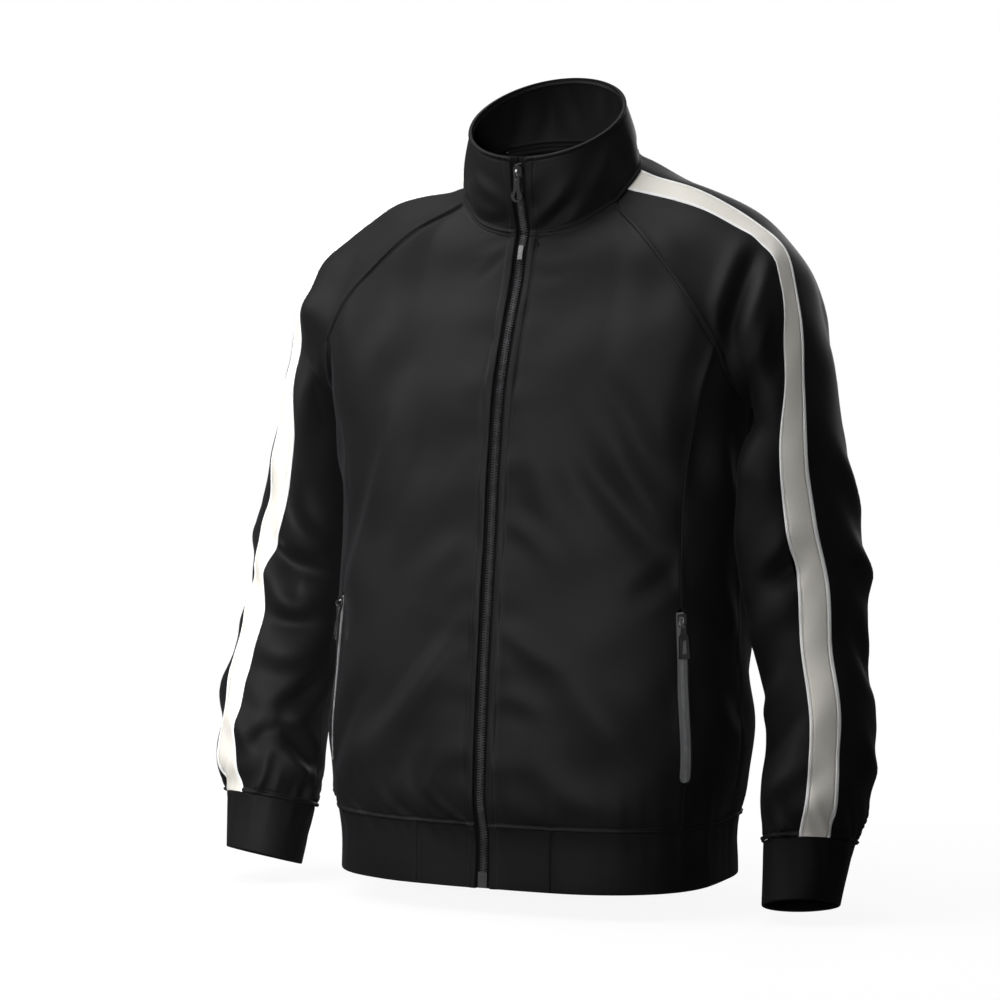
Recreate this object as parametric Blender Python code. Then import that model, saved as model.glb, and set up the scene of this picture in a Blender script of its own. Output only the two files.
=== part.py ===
"""Track jacket, zipped to the top and filled out as if worn, with a hollow inside.

Metres, +Z up. The front faces -Y and +X is the wearer's left. Heights in the tables are measured
from the bottom edge of the hem; an empty then brings the point where the neck and shoulders hold
the jacket to the world's origin. A skin is a grid of points, [row, column], on a piece's outside.
"""

import math
from collections import namedtuple

import bpy
import numpy as np
from mathutils import Matrix

# Driving sizes
NECK_HOLD = (0.0, 0.022, 0.645)
SEAM_GAP = 0.0003
SAME_PLACE = 1.37e-6  # points this close are one; round sizes never fall between two cells
CLOTH_WALL = 0.002
COLLAR_WALL = 0.003
RIB_WALL = 0.003
STRIPE_WIDTH = 0.030  # with its piping
PIPING_WIDTH = 0.0035
SHOULDER_STRIPE = (0.019, 0.049)  # along the neck seam, from the front raglan seam

# Zips
ZIP_OPENING = 0.011  # between the folded front edges
CHAIN_WIDTH = 0.0094
CHAIN_DEPTHS = (0.0006, 0.0032)  # below the skin
TAPE_EDGES = (0.0050, 0.0165)  # across, from the middle of the zip
TAPE_DEPTHS = (0.0050, 0.0058)
BOX_HEIGHTS = (0.0008, 0.0155)
CLIP_WIDTH = 0.005
CLIP_HEIGHTS = (0.581, 0.594)
CLIP_DEPTHS = (-0.0009, 0.0003)
SLIDER_HEIGHT = 0.662
CHAIN_GAP = 0.0003
POCKET_OPENING = 0.0116
POCKET_TAPE_DEPTHS = (0.0007, 0.0019)
POCKET_COIL_WIDTH = 0.0034
POCKET_COIL_DEPTHS = (-0.0005, 0.0004)
POCKET_SLIDER_BELOW = 0.008  # below the top of the opening

# Sections of the body: the front, back and widest line are places along Y
Torso = namedtuple("Torso", "height half_width front back widest squareness")
TORSO = (
    Torso(0.000, 0.188, -0.131, 0.112, 0.000, 3.0),
    Torso(0.058, 0.190, -0.131, 0.112, 0.000, 3.0),
    Torso(0.075, 0.196, -0.136, 0.118, 0.000, 2.8),
    Torso(0.110, 0.202, -0.136, 0.124, 0.002, 2.7),
    Torso(0.200, 0.201, -0.129, 0.126, 0.004, 2.6),
    Torso(0.300, 0.199, -0.116, 0.124, 0.008, 2.5),
    Torso(0.400, 0.202, -0.104, 0.126, 0.014, 2.5),
    Torso(0.460, 0.205, -0.094, 0.130, 0.020, 2.7),
    Torso(0.520, 0.211, -0.073, 0.130, 0.026, 3.2),
    Torso(0.560, 0.209, -0.055, 0.126, 0.032, 3.4),
    Torso(0.605, 0.200, -0.039, 0.122, 0.035, 3.2),
    Torso(0.640, 0.165, -0.007, 0.112, 0.040, 2.7),
    Torso(0.690, 0.140, 0.005, 0.080, 0.045, 2.3),
)
HEM_SEAM = 0.058
HEM_ROWS = (0.0, 0.029, HEM_SEAM)
# Shares of the way from the hem seam to the top edge, with a close pair at each pocket end
BODY_ROWS = (0, 0.035, 0.096, 0.1, 0.18, 0.27, 0.36, 0.446, 0.45, 0.54, 0.64, 0.74, 0.83, 0.92, 1)
POCKET_ROWS = slice(3, 8)
TOP_ROWS = 0.62  # above this share the body bends to meet its top edge
# Turns round the body from the front, in degrees, of the lines that start at the hem seam
CORNER_TURN, POCKET_TURN, SIDE_TURN, BACK_CORNER_TURN = 20.4, 57.5, 91.0, 150.0

# The wearer's left half of the top edge
Point = namedtuple("Point", "across along height")
NECK_FRONT = (
    Point(0.0, -0.039, 0.605),
    Point(0.018, -0.0377, 0.6056),
    Point(0.044, -0.0300, 0.611),
    Point(0.078, -0.0035, 0.634),
)
RAGLAN_FRONT = (
    NECK_FRONT[-1],
    Point(0.125, -0.037, 0.603),
    Point(0.153, -0.048, 0.575),
    Point(0.177, -0.054, 0.547),
    Point(0.199, -0.050, 0.512),
)
ARMHOLE_FRONT = (RAGLAN_FRONT[-1], Point(0.207, -0.027, 0.473), Point(0.2055, 0.020, 0.452))
RAGLAN_BACK = (
    ARMHOLE_FRONT[-1],
    Point(0.2065, 0.055, 0.463),
    Point(0.205, 0.078, 0.500),
    Point(0.187, 0.103, 0.555),
    Point(0.155, 0.110, 0.600),
    Point(0.115, 0.101, 0.640),
    Point(0.067, 0.071, 0.680),
)
NECK_SIDE = (NECK_FRONT[-1], Point(0.088, 0.028, 0.662), RAGLAN_BACK[-1])
NECK_BACK = (
    RAGLAN_BACK[-1],
    Point(0.036, 0.0885, 0.6848),
    Point(0.014, 0.0942, 0.6859),
    Point(0.0, 0.0950, 0.686),
)
NECK_STEPS, RAGLAN_STEPS, ARMHOLE_STEPS, BACK_STEPS, NECK_BACK_STEPS = 5, 8, 3, 8, 4

# Columns of the whole body, round from the zip, at which its pieces meet
CORNER = NECK_STEPS
POCKET = CORNER + RAGLAN_STEPS
SIDE = POCKET + ARMHOLE_STEPS
BACK_CORNER = SIDE + BACK_STEPS
MIDDLE = BACK_CORNER + NECK_BACK_STEPS

# Collar: its rim is an ellipse in a plane that rises to the back
RIM_HALF_WIDTH, RIM_MIDDLE, RIM_HALF_DEPTH = 0.074, 0.013, 0.067
RIM_FRONT_HEIGHT, RIM_RISE = 0.677, 0.55
COLLAR_ROWS = (0, 0.3, 0.7, 1)
COLLAR_BULGE = 0.003

# Sections of the wearer's left sleeve, each an ellipse from its outer to its inner point. Below a
# crowding of 1 the columns at the front of the underarm stand further round, as on the raglan seam
Sleeve = namedtuple(
    "Sleeve", "outer outer_height inner inner_height middle half_depth bulge stripe crowding"
)
SLEEVE = (
    Sleeve(0.165, 0.632, 0.2115, 0.447, 0.036, 0.084, 0.014, 2, 0.68),
    Sleeve(0.230, 0.590, 0.2130, 0.436, 0.044, 0.082, 0.006, 12, 0.78),
    Sleeve(0.264, 0.512, 0.2135, 0.418, 0.042, 0.078, 0.0, 38, 0.9),
    Sleeve(0.284, 0.425, 0.2130, 0.375, 0.036, 0.073, 0.0, 61, 1),
    Sleeve(0.300, 0.350, 0.2130, 0.318, 0.033, 0.069, 0.0, 65, 1),
    Sleeve(0.314, 0.290, 0.2160, 0.270, 0.032, 0.066, 0.0, 64, 1),
    Sleeve(0.319, 0.225, 0.2220, 0.205, 0.020, 0.064, 0.0, 62, 1),
    Sleeve(0.333, 0.155, 0.2350, 0.140, 0.004, 0.061, 0.0, 61, 1),
    Sleeve(0.335, 0.088, 0.2330, 0.078, -0.010, 0.057, 0.0, 61, 1),
    Sleeve(0.323, 0.050, 0.2380, 0.042, -0.018, 0.046, 0.0, 61, 1),
    Sleeve(0.316, -0.006, 0.2430, -0.016, -0.035, 0.040, 0.0, 61, 1),
)
RIGHT_ARM_RISE, RISE_STARTS = 0.008, 0.24  # the wearer's right arm is drawn up, from this height
# The wearer's right arm is rolled forward: its stripe's turns to the front, in place of the left's
RIGHT_STRIPES = (2, 36, 69, 78, 76, 65, 66, 66, 61, 58, 58)
# The left arm's cloth hangs in and forward, by this much at most, between these heights
LEFT_HANG = (-0.008, -0.027, 0.0)
HANG_HEIGHTS = (0.17, 0.30, 0.385, 0.438)
# Rows count down the loops from the raglan seam, which is loop 0, to the cuff's seam and end
SLEEVE_ROWS = np.array((0, 0.5, 1, 1.6, 2.3, 3, 3.7, 4.4, 5, 5.5, 6, 7, 8, 9, 9.5, 10))
CUFF_ROWS = np.array((10, 10.5, 11))
ELBOW_ROW = 8  # counting up from the cuff's seam: the back of the sleeve is in two pieces, which meet here

# The largest folds of the body: a soft ridge from one place to another on the skin
Fold = namedtuple("Fold", "turn height end_turn end_height width lift")
BODY_FOLDS = (
    Fold(-48, 0.455, -62, 0.275, 0.020, 0.0045),
    Fold(-8, 0.205, -50, 0.110, 0.018, 0.0040),
    Fold(-2, 0.290, -26, 0.250, 0.014, 0.0030),
    Fold(26, 0.420, 55, 0.300, 0.020, 0.0040),
    Fold(6, 0.225, 30, 0.180, 0.014, 0.0030),
    Fold(150, 0.420, 120, 0.250, 0.024, 0.0045),
    Fold(-150, 0.400, -125, 0.240, 0.022, 0.0045),
)
# and of the sleeves: turns from the outer line to the front, and loops down the sleeve
SleeveFold = namedtuple("SleeveFold", "turn loop end_turn end_loop width lift")
SLEEVE_FOLDS = (
    SleeveFold(40, 5.6, 110, 6.3, 0.013, 0.0055),
    SleeveFold(110, 5.2, 60, 6.0, 0.012, -0.0045),
    SleeveFold(60, 8.2, 120, 8.8, 0.013, 0.0050),
    SleeveFold(-60, 5.8, -120, 6.4, 0.015, 0.0050),
    SleeveFold(20, 7.2, 90, 8.0, 0.014, -0.0040),
)
FOLD_POINTS = 7

# Hard pieces, in millimetres: across, outward and up the zip, from the middle of the slider
MM = 0.001
SLIDER_EDGE = ((3.0, -6.0), (4.3, -1.0), (4.3, 5.0), (3.2, 6.5))  # its right half, going up
PLATE_THICK = 1.6
ARCH_WIDTH, ARCH_BAR, ARCH_LENGTH, ARCH_RISE, ARCH_FOOT = 1.6, 1.1, 7.4, 4.2, 0.6
PIVOT = (1.5, -1.2)  # outward of the plate's face, and up from the slider's middle
PULL_THICK = 1.5
PULL_BAR = 0.8  # from the pivot to the top edge of the pull
ARCH_SLOT = (1.25, 5.2)  # half width and length of the slot round the slider's arch


def spline(at, knots, values):
    """A smooth curve through values, which may be points, read at places along the knots."""
    at, knots, values = (np.asarray(data, float) for data in (at, knots, values))
    lengths = np.diff(knots)
    wide = (slice(None),) + (None,) * (values.ndim - 1)
    chords = np.diff(values, axis=0) / lengths[wide]
    before, after = lengths[:-1][wide], lengths[1:][wide]
    inner = (chords[:-1] * after + chords[1:] * before) / (before + after)
    slopes = np.concatenate([chords[:1], inner, chords[-1:]])
    span = np.clip(np.searchsorted(knots, at, side="right") - 1, 0, len(lengths) - 1)
    wide = (Ellipsis,) + (None,) * (values.ndim - 1)
    length = lengths[span][wide]
    share = ((at - knots[span]) / lengths[span])[wide]
    start, end = values[span], values[span + 1]
    curve = start + share**2 * (3 - 2 * share) * (end - start)
    curve = curve + share * (1 - share) ** 2 * length * slopes[span]
    return curve - share**2 * (1 - share) * length * slopes[span + 1]


def curve_through(points, shares):
    """Points at shares of the length of a smooth curve through the given ones."""
    points = np.array(points, float)
    knots = np.concatenate([[0], np.cumsum(np.linalg.norm(np.diff(points, axis=0), axis=1))])
    fine = spline(np.linspace(0, knots[-1], 400), knots, points)
    lengths = np.concatenate([[0], np.cumsum(np.linalg.norm(np.diff(fine, axis=0), axis=1))])
    wanted = np.asarray(shares, float) * lengths[-1]
    return np.stack([np.interp(wanted, lengths, fine[:, axis]) for axis in range(3)], axis=1)


def curve_length(points):
    """The length of a smooth curve through points."""
    fine = curve_through(points, np.linspace(0, 1, 200))
    return np.linalg.norm(np.diff(fine, axis=0), axis=1).sum()


def unit(vectors):
    return vectors / np.linalg.norm(vectors, axis=-1, keepdims=True)


def mirrored(skin):
    """The same skin on the wearer's right, still facing out."""
    return skin[:, ::-1] * (-1, 1, 1)


def hung(skin, front):
    """The left sleeve with the cloth over its columns of the front hanging in and forward."""
    places = np.minimum(np.arange(skin.shape[1]) / front, 1)
    share = np.interp(skin[..., 2], HANG_HEIGHTS, (0, 1, 1, 0))
    share = share**2 * (3 - 2 * share) * np.sin(np.pi * places**0.6)
    return skin + share[..., None] * LEFT_HANG


def drawn_up(skin):
    """The lower right arm, raised a little more towards its end."""
    share = np.clip(1 - skin[..., 2] / RISE_STARTS, 0, None)
    return skin + (share**2 * RIGHT_ARM_RISE)[..., None] * (0, 0, 1)


def whole(half):
    """A left half and its mirror image as one skin, round from the zip and back to it."""
    return np.concatenate([half, mirrored(half)[:, 1:]], axis=1)


# Body


def torso_sizes(height):
    heights = [section.height for section in TORSO]
    return [spline(height, heights, [section[i] for section in TORSO]) for i in range(1, 6)]


def torso_point(turn, height):
    """The body's skin at a turn from the front, in radians, and a height."""
    half_width, front, back, widest, squareness = torso_sizes(height)
    sine, cosine = np.sin(turn), np.cos(turn)
    reach = (np.abs(sine) ** squareness + np.abs(cosine) ** squareness) ** (-1 / squareness)
    depth = np.where(cosine > 0, widest - front, back - widest)
    return np.stack([half_width * reach * sine, widest - depth * reach * cosine, height], axis=-1)


def torso_turn(points):
    """The turn at which the body passes nearest to points."""
    half_width, front, back, widest, _ = torso_sizes(points[..., 2])
    offset = widest - points[..., 1]
    depth = np.where(offset > 0, widest - front, back - widest)
    return np.arctan2(points[..., 0] / half_width, offset / depth)


def top_edge():
    """The left half of the body's top edge, from the zip to the middle of the back."""
    spans = (
        (NECK_FRONT, NECK_STEPS),
        (RAGLAN_FRONT, RAGLAN_STEPS),
        (ARMHOLE_FRONT, ARMHOLE_STEPS),
        (RAGLAN_BACK, BACK_STEPS),
        (NECK_BACK, NECK_BACK_STEPS),
    )
    edge = []
    for points, steps in spans:
        start = ZIP_OPENING / 2 / curve_length(points) if points is NECK_FRONT else 0
        edge.append(curve_through(points, np.linspace(start, 1, steps + 1))[:-1])
    edge.append(np.array([NECK_BACK[-1]], float))
    return np.concatenate(edge)


def hem_turns():
    """Where the body's columns start at the hem seam, in radians, one for each point above."""
    zip_turn = math.degrees(ZIP_OPENING / 2 / TORSO[1].half_width)
    stops = (zip_turn, CORNER_TURN, POCKET_TURN, SIDE_TURN, BACK_CORNER_TURN, 180.0)
    steps = (NECK_STEPS, RAGLAN_STEPS, ARMHOLE_STEPS, BACK_STEPS, NECK_BACK_STEPS)
    turns = [np.linspace(a, b, n + 1)[:-1] for a, b, n in zip(stops, stops[1:], steps)]
    return np.radians(np.concatenate(turns + [[180.0]]))


def body_skin():
    """The left half of the body, from the hem seam up to its top edge."""
    edge = top_edge()
    starts = hem_turns()
    rows = np.array(BODY_ROWS)[:, None]
    turns = starts + rows * (torso_turn(edge) - starts)
    turns[:, 0] = ZIP_OPENING / 2 / torso_sizes(HEM_SEAM + rows[:, 0] * (edge[0, 2] - HEM_SEAM))[0]
    heights = HEM_SEAM + rows * (edge[:, 2] - HEM_SEAM)
    skin = torso_point(turns, heights)
    bend = np.clip((rows - TOP_ROWS) / (1 - TOP_ROWS), 0, 1)
    bend = bend**2 * (3 - 2 * bend)
    return skin + bend[..., None] * (edge - skin[-1])


def hem_skin():
    """The left half of the hem band, whose columns run on from the body's."""
    return torso_point(hem_turns()[None, :], np.array(HEM_ROWS)[:, None] + 0 * hem_turns())


def fold_path(points_at, starts, ends):
    """Points along a fold on a skin."""
    shares = np.linspace(0, 1, FOLD_POINTS)
    places = [start + shares * (end - start) for start, end in zip(starts, ends)]
    return points_at(*places)


def distance_to(points, path):
    """How far points are from a path, and how far along it the nearest place is."""
    nearest = np.full(points.shape[:-1], np.inf)
    along = np.zeros(points.shape[:-1])
    for step, (start, end) in enumerate(zip(path, path[1:])):
        line = end - start
        share = np.clip((points - start) @ line / (line @ line), 0, 1)
        distance = np.linalg.norm(points - start - share[..., None] * line, axis=-1)
        closer = distance < nearest
        nearest = np.where(closer, distance, nearest)
        along = np.where(closer, (step + share) / (len(path) - 1), along)
    return nearest, along


def lift_along(skin, path, width, lift):
    """How much a fold raises each point of a skin. It fades out at its two ends."""
    distance, along = distance_to(skin, path)
    return lift * np.exp(-((distance / width) ** 2)) * np.sin(np.pi * np.clip(along, 0.02, 0.98))


def body_place(turn, height):
    return torso_point(np.radians(turn), height)


def folded(skin, normals, folds, place, kept_columns=()):
    """A skin with its folds. Its end rows and kept columns are seams, which hold the cloth."""
    lifts = np.zeros(skin.shape[:2])
    for start_turn, start_place, end_turn, end_place, width, lift in folds:
        path = fold_path(place, (start_turn, start_place), (end_turn, end_place))
        lifts += lift_along(skin, path, width, lift)
    lifts[[0, -1]] = 0
    lifts[:, list(kept_columns)] = 0
    return skin + lifts[..., None] * normals


# Sleeve


def ring_frames():
    """Each section's middle, its half axis to the outer point and its half axis to the front."""
    outer = np.array([(s.outer, s.middle, s.outer_height) for s in SLEEVE])
    inner = np.array([(s.inner, s.middle, s.inner_height) for s in SLEEVE])
    middles = (outer + inner) / 2
    runs = np.gradient(middles[:, 1:], axis=0)
    fronts = np.stack([0 * runs[:, 0], runs[:, 1], -runs[:, 0]], axis=1)
    return middles, (outer - inner) / 2, unit(fronts) * [[s.half_depth] for s in SLEEVE]


def ring_turns(section, to_outer, to_front, steps):
    """The turns of a section's columns, from the underarm round the front, stripe and back."""
    middle = math.radians(section.stripe)
    radius = np.linalg.norm(to_outer * math.sin(middle) - to_front * math.cos(middle))
    half, inside = STRIPE_WIDTH / 2 / radius, (STRIPE_WIDTH / 2 - PIPING_WIDTH) / radius
    stops = (math.pi, middle + half, middle + inside, middle - inside, middle - half, -math.pi)
    spans = [np.linspace(a, b, n + 1)[:-1] for a, b, n in zip(stops, stops[1:], steps)]
    spans[0] = math.pi + (stops[1] - math.pi) * (np.arange(steps[0]) / steps[0]) ** section.crowding
    return np.concatenate(spans + [[-math.pi]])


def neck_side_edge():
    """The sleeve's edge along the neck, with points at both edges of the stripe and its piping."""
    length = curve_length(NECK_SIDE)
    start, end = SHOULDER_STRIPE
    inside = (start + PIPING_WIDTH, end - PIPING_WIDTH)
    stations = (0, start, inside[0], sum(inside) / 2, inside[1], end, (end + length) / 2, length)
    return curve_through(NECK_SIDE, np.array(stations) / length)


def sleeve_edge():
    """The sleeve's top edge, from the underarm up the front, over the neck and down the back."""
    edge = top_edge()
    corner, underarm = NECK_STEPS, NECK_STEPS + RAGLAN_STEPS + ARMHOLE_STEPS
    back_corner = underarm + BACK_STEPS
    front = edge[corner : underarm + 1][::-1]
    back = edge[underarm : back_corner + 1][::-1]
    return np.concatenate([front[:-1], neck_side_edge()[:-1], back])


SLEEVE_STEPS = (RAGLAN_STEPS + ARMHOLE_STEPS + 1, 1, 2, 1, 2 + BACK_STEPS)


def sleeve_loops(stripes):
    """The raglan edge and the ring of each section, all with the same columns."""
    loops = [sleeve_edge()]
    sections = [section._replace(stripe=turn) for section, turn in zip(SLEEVE, stripes)]
    for section, middle, to_outer, to_front in zip(sections, *ring_frames()):
        turns = ring_turns(section, to_outer, to_front, SLEEVE_STEPS)[:, None]
        ring = middle + to_outer * np.cos(turns) + to_front * np.sin(turns)
        ring[:, 0] += section.bulge * np.sin(turns[:, 0]) ** 2
        loops.append(ring)
    return np.array(loops)


def sleeve_skin(rows, side):
    """A sleeve in the left one's place, at rows counted down its loops, with its lowest row first."""
    right = side == "right"
    loops = sleeve_loops(RIGHT_STRIPES if right else [section.stripe for section in SLEEVE])
    skin = spline(rows, np.arange(len(loops)), loops)[::-1]
    return skin if right else hung(skin, SLEEVE_STEPS[0])


def sleeve_place(turn, loop):
    """A place on the left sleeve, by its turn in degrees and its loop."""
    middles, to_outer, to_front = (
        spline(loop, np.arange(1, len(SLEEVE) + 1), frame) for frame in ring_frames()
    )
    turn = np.radians(turn)[:, None]
    return middles + to_outer * np.cos(turn) + to_front * np.sin(turn)


# Collar


def rim_point(turn):
    across = RIM_HALF_WIDTH * np.sin(turn)
    along = RIM_MIDDLE - RIM_HALF_DEPTH * np.cos(turn)
    front = RIM_MIDDLE - RIM_HALF_DEPTH
    return np.stack([across, along, RIM_FRONT_HEIGHT + RIM_RISE * (along - front)], axis=-1)


def collar_between(base, rim, rows):
    """Rows of points from the collar's base to its rim, bowed out between them."""
    out = unit((base + rim) * (1, 1, 0) - (0, 2 * RIM_MIDDLE, 0))
    shares = np.array(rows)[:, None, None]
    return base + shares * (rim - base) + COLLAR_BULGE * np.sin(np.pi * shares) * out


def collar_skin():
    """The left half of the collar, on the same points as the pieces below it."""
    edge = top_edge()
    front, back = edge[:NECK_STEPS], edge[-NECK_BACK_STEPS - 1 :]
    base = np.concatenate([front, neck_side_edge()[:-1], back])
    turns = np.arctan2(base[:, 0], RIM_MIDDLE + 0.015 - base[:, 1])
    turns[0] = math.asin(ZIP_OPENING / 2 / RIM_HALF_WIDTH)
    return collar_between(base, rim_point(turns), COLLAR_ROWS)


# Walls


def corner_normals(skin):
    """The sum, at each point of a skin, of the directions its faces point in."""
    faces = unit(np.cross(skin[1:, 1:] - skin[:-1, :-1], skin[1:, :-1] - skin[:-1, 1:]))
    normals = np.zeros_like(skin)
    for rows in (slice(None, -1), slice(1, None)):
        for columns in (slice(None, -1), slice(1, None)):
            normals[rows, columns] += faces
    return normals


def shared_normals(skins):
    """A normal for each point of each skin, the same on every skin that has that point."""
    points = np.concatenate([skin.reshape(-1, 3) for skin in skins.values()])
    sums = np.concatenate([corner_normals(skin).reshape(-1, 3) for skin in skins.values()])
    cells = np.round(points / SAME_PLACE).astype(np.int64)
    which = np.unique(cells, axis=0, return_inverse=True)[1].reshape(-1)
    totals = np.zeros((which.max() + 1, 3))
    np.add.at(totals, which, sums)
    normals = unit(totals)[which]
    ends = np.cumsum([skin.size // 3 for skin in skins.values()])[:-1]
    parts = np.split(normals, ends)
    return {name: part.reshape(skins[name].shape) for name, part in zip(skins, parts)}


def pulled_in(skin, closed):
    """How far to move each point so that the piece keeps half a gap to its neighbours."""
    half = SEAM_GAP / 2
    moves = np.zeros_like(skin)
    moves[0] += half * unit(skin[1] - skin[0])
    moves[-1] += half * unit(skin[-2] - skin[-1])
    if not closed:
        moves[:, 0] += half * unit(skin[:, 1] - skin[:, 0])
        moves[:, -1] += half * unit(skin[:, -2] - skin[:, -1])
    return moves


def wall_mesh(name, outside, inside, closed):
    """A mesh between two skins with the same grid, closed at its edges."""
    rows, columns = outside.shape[:2]
    last = columns - 1
    if closed:
        outside, inside, columns = outside[:, :-1], inside[:, :-1], columns - 1
    points = np.concatenate([outside.reshape(-1, 3), inside.reshape(-1, 3)])
    inner = rows * columns

    def at(row, column):
        return row * columns + column % columns

    faces = []
    for row in range(rows - 1):
        for column in range(last):
            quad = [at(row, column), at(row, column + 1), at(row + 1, column + 1), at(row + 1, column)]
            faces.append(quad)
            faces.append([inner + quad[step] for step in (0, 3, 2, 1)])
    rims = [(at(0, c + 1), at(0, c)) for c in range(last)]
    rims += [(at(rows - 1, c), at(rows - 1, c + 1)) for c in range(last)]
    if not closed:
        rims += [(at(r, 0), at(r + 1, 0)) for r in range(rows - 1)]
        rims += [(at(r + 1, last), at(r, last)) for r in range(rows - 1)]
    for a, b in rims:
        quad = [a, b, inner + b, inner + a]
        # Two pieces that meet are split alike, from the higher of the outer corners
        faces.append(quad if points[a, 2] >= points[b, 2] else quad[1:] + quad[:1])
    mesh = bpy.data.meshes.new(name)
    mesh.from_pydata(points.tolist(), [], faces)
    mesh.shade_smooth()
    mesh.set_sharp_from_angle(angle=math.radians(40))
    return mesh


# Scene


def material(name, colour, roughness, metallic=0.0):
    made = bpy.data.materials.new(name)
    made.use_nodes = True
    shader = made.node_tree.nodes["Principled BSDF"]
    shader.inputs["Base Color"].default_value = (*colour, 1)
    shader.inputs["Roughness"].default_value = roughness
    shader.inputs["Metallic"].default_value = metallic
    return made


def add_object(name, mesh, look, parent, place=(0, 0, 0), rotation=None):
    made = bpy.data.objects.new(name, mesh)
    bpy.context.scene.collection.objects.link(made)
    made.parent = parent
    made.location = place
    if rotation is not None:
        made.rotation_euler = rotation
    mesh.materials.clear()
    mesh.materials.append(look)
    return made


def add_wall(name, skin, normals, depths, look, parent, closed=False):
    """A wall whose two faces lie at these depths below a skin."""
    skin = skin + pulled_in(skin, closed)
    outside, inside = (skin - depth * normals for depth in depths)
    return add_object(name, wall_mesh(name, outside, inside, closed), look, parent)


# Zips


def zip_skin(edges, bottom, top=None):
    """The skin over the front zip at places across it, from a height to another or to the rim."""
    across = np.array(edges)
    neck = NECK_FRONT[0].height
    heights = np.concatenate([HEM_ROWS[:-1], HEM_SEAM + np.array(BODY_ROWS) * (neck - HEM_SEAM)])
    if top is not None:
        heights = np.array([top])
    heights = np.concatenate([[bottom], heights[heights > bottom + 0.001]])[:, None] + 0 * across
    front = torso_point(across / torso_sizes(heights)[0], heights)
    if top is not None:
        return front
    collar = collar_between(front[-1], rim_point(across / RIM_HALF_WIDTH), COLLAR_ROWS)
    return np.concatenate([front, collar[1:]])


def add_strip(name, skin, depths, look, parent):
    """A narrow wall at these depths below its own skin."""
    add_wall(name, skin, unit(corner_normals(skin)), depths, look, parent)


def add_front_zip(looks, parent):
    """The tapes behind the fronts, the chain between them, its bottom box and its clip."""
    for side, order in (("left", 1), ("right", -1)):
        edges = sorted(order * edge for edge in TAPE_EDGES)
        add_strip(f"zip_tape_{side}", zip_skin(edges, 0.0), TAPE_DEPTHS, looks["tape"], parent)
    chain = (-CHAIN_WIDTH / 2, CHAIN_WIDTH / 2)
    low, high = BOX_HEIGHTS
    add_strip("zip_chain", zip_skin(chain, high), CHAIN_DEPTHS, looks["chain"], parent)
    box_depths = (-CHAIN_DEPTHS[0], CHAIN_DEPTHS[1])
    add_strip("zip_box", zip_skin(chain, low, high), box_depths, looks["metal"], parent)
    clip = zip_skin((-CLIP_WIDTH / 2, CLIP_WIDTH / 2), *CLIP_HEIGHTS)
    add_strip("zip_clip", clip, CLIP_DEPTHS, looks["metal"], parent)


def pocket_line(body, normals, column):
    """The pocket seam over its opening: its points, outward normals and directions across."""
    points, out = body[POCKET_ROWS, column], normals[POCKET_ROWS, column]
    across = unit(body[POCKET_ROWS, column + 1] - body[POCKET_ROWS, column - 1])
    return points, out, across


def add_pocket_zip(side, line, looks, parent):
    """The tape and the coil in a pocket's opening."""
    points, out, across = line
    widths = (POCKET_OPENING - 4 * SEAM_GAP, POCKET_COIL_WIDTH)
    names = (f"pocket_tape_{side}", f"pocket_coil_{side}")
    for name, width, depths in zip(names, widths, (POCKET_TAPE_DEPTHS, POCKET_COIL_DEPTHS)):
        skin = np.stack([points - across * width / 2, points + across * width / 2], axis=1)
        normals = np.stack([out, out], axis=1)
        add_wall(name, skin, normals, depths, looks["grey"], parent)


def opened(skin, edge):
    """A panel whose edge, column 0 or -1, stands back from the pocket's zip."""
    skin = skin.copy()
    inward = unit(skin[POCKET_ROWS, 1 if edge == 0 else -2] - skin[POCKET_ROWS, edge])
    skin[POCKET_ROWS, edge] += inward * POCKET_OPENING / 2
    return skin


# Sliders and pulls


def extruded(name, outline, thickness, side_view=False):
    """An outline in millimetres made a plate. It runs across and up, or outward and up."""
    half = thickness / 2
    spots = [(first, offset, second) for offset in (-half, half) for first, second in outline]
    if side_view:
        spots = [(offset, first, second) for first, offset, second in spots]
    count = len(outline)
    faces = [list(range(count)), list(range(2 * count - 1, count - 1, -1))]
    for step in range(count):
        after = (step + 1) % count
        faces.append([after, step, step + count, after + count])
    mesh = bpy.data.meshes.new(name)
    mesh.from_pydata([tuple(MM * size for size in spot) for spot in spots], [], faces)
    return outward_facing(mesh)


def outward_facing(mesh):
    """Turns a closed mesh's faces outward if they point in."""
    volume = 0.0
    for polygon in mesh.polygons:
        corners = [mesh.vertices[index].co for index in polygon.vertices]
        for second, third in zip(corners[1:], corners[2:]):
            volume += corners[0].dot(second.cross(third))
    if volume < 0:
        mesh.flip_normals()
    return mesh


def arch_outline():
    """The side view of a slider's arch: half an oval as thick as its bar, its feet in the plate."""
    turns = np.linspace(0, math.pi, 9)
    face, foot = -PLATE_THICK / 2, -PLATE_THICK / 2 + ARCH_FOOT
    end = ARCH_LENGTH / 2
    rise, reach = ARCH_RISE - ARCH_BAR, end - ARCH_BAR
    bows = np.sin(turns) ** 0.7
    outer = [(face - ARCH_RISE * bow, end * math.cos(t)) for bow, t in zip(bows, turns)]
    inner = [(face - rise * bow, -reach * math.cos(t)) for bow, t in zip(bows, turns)]
    return outer + [(foot, -end), (foot, -reach)] + inner + [(foot, reach), (foot, end)]


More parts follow.
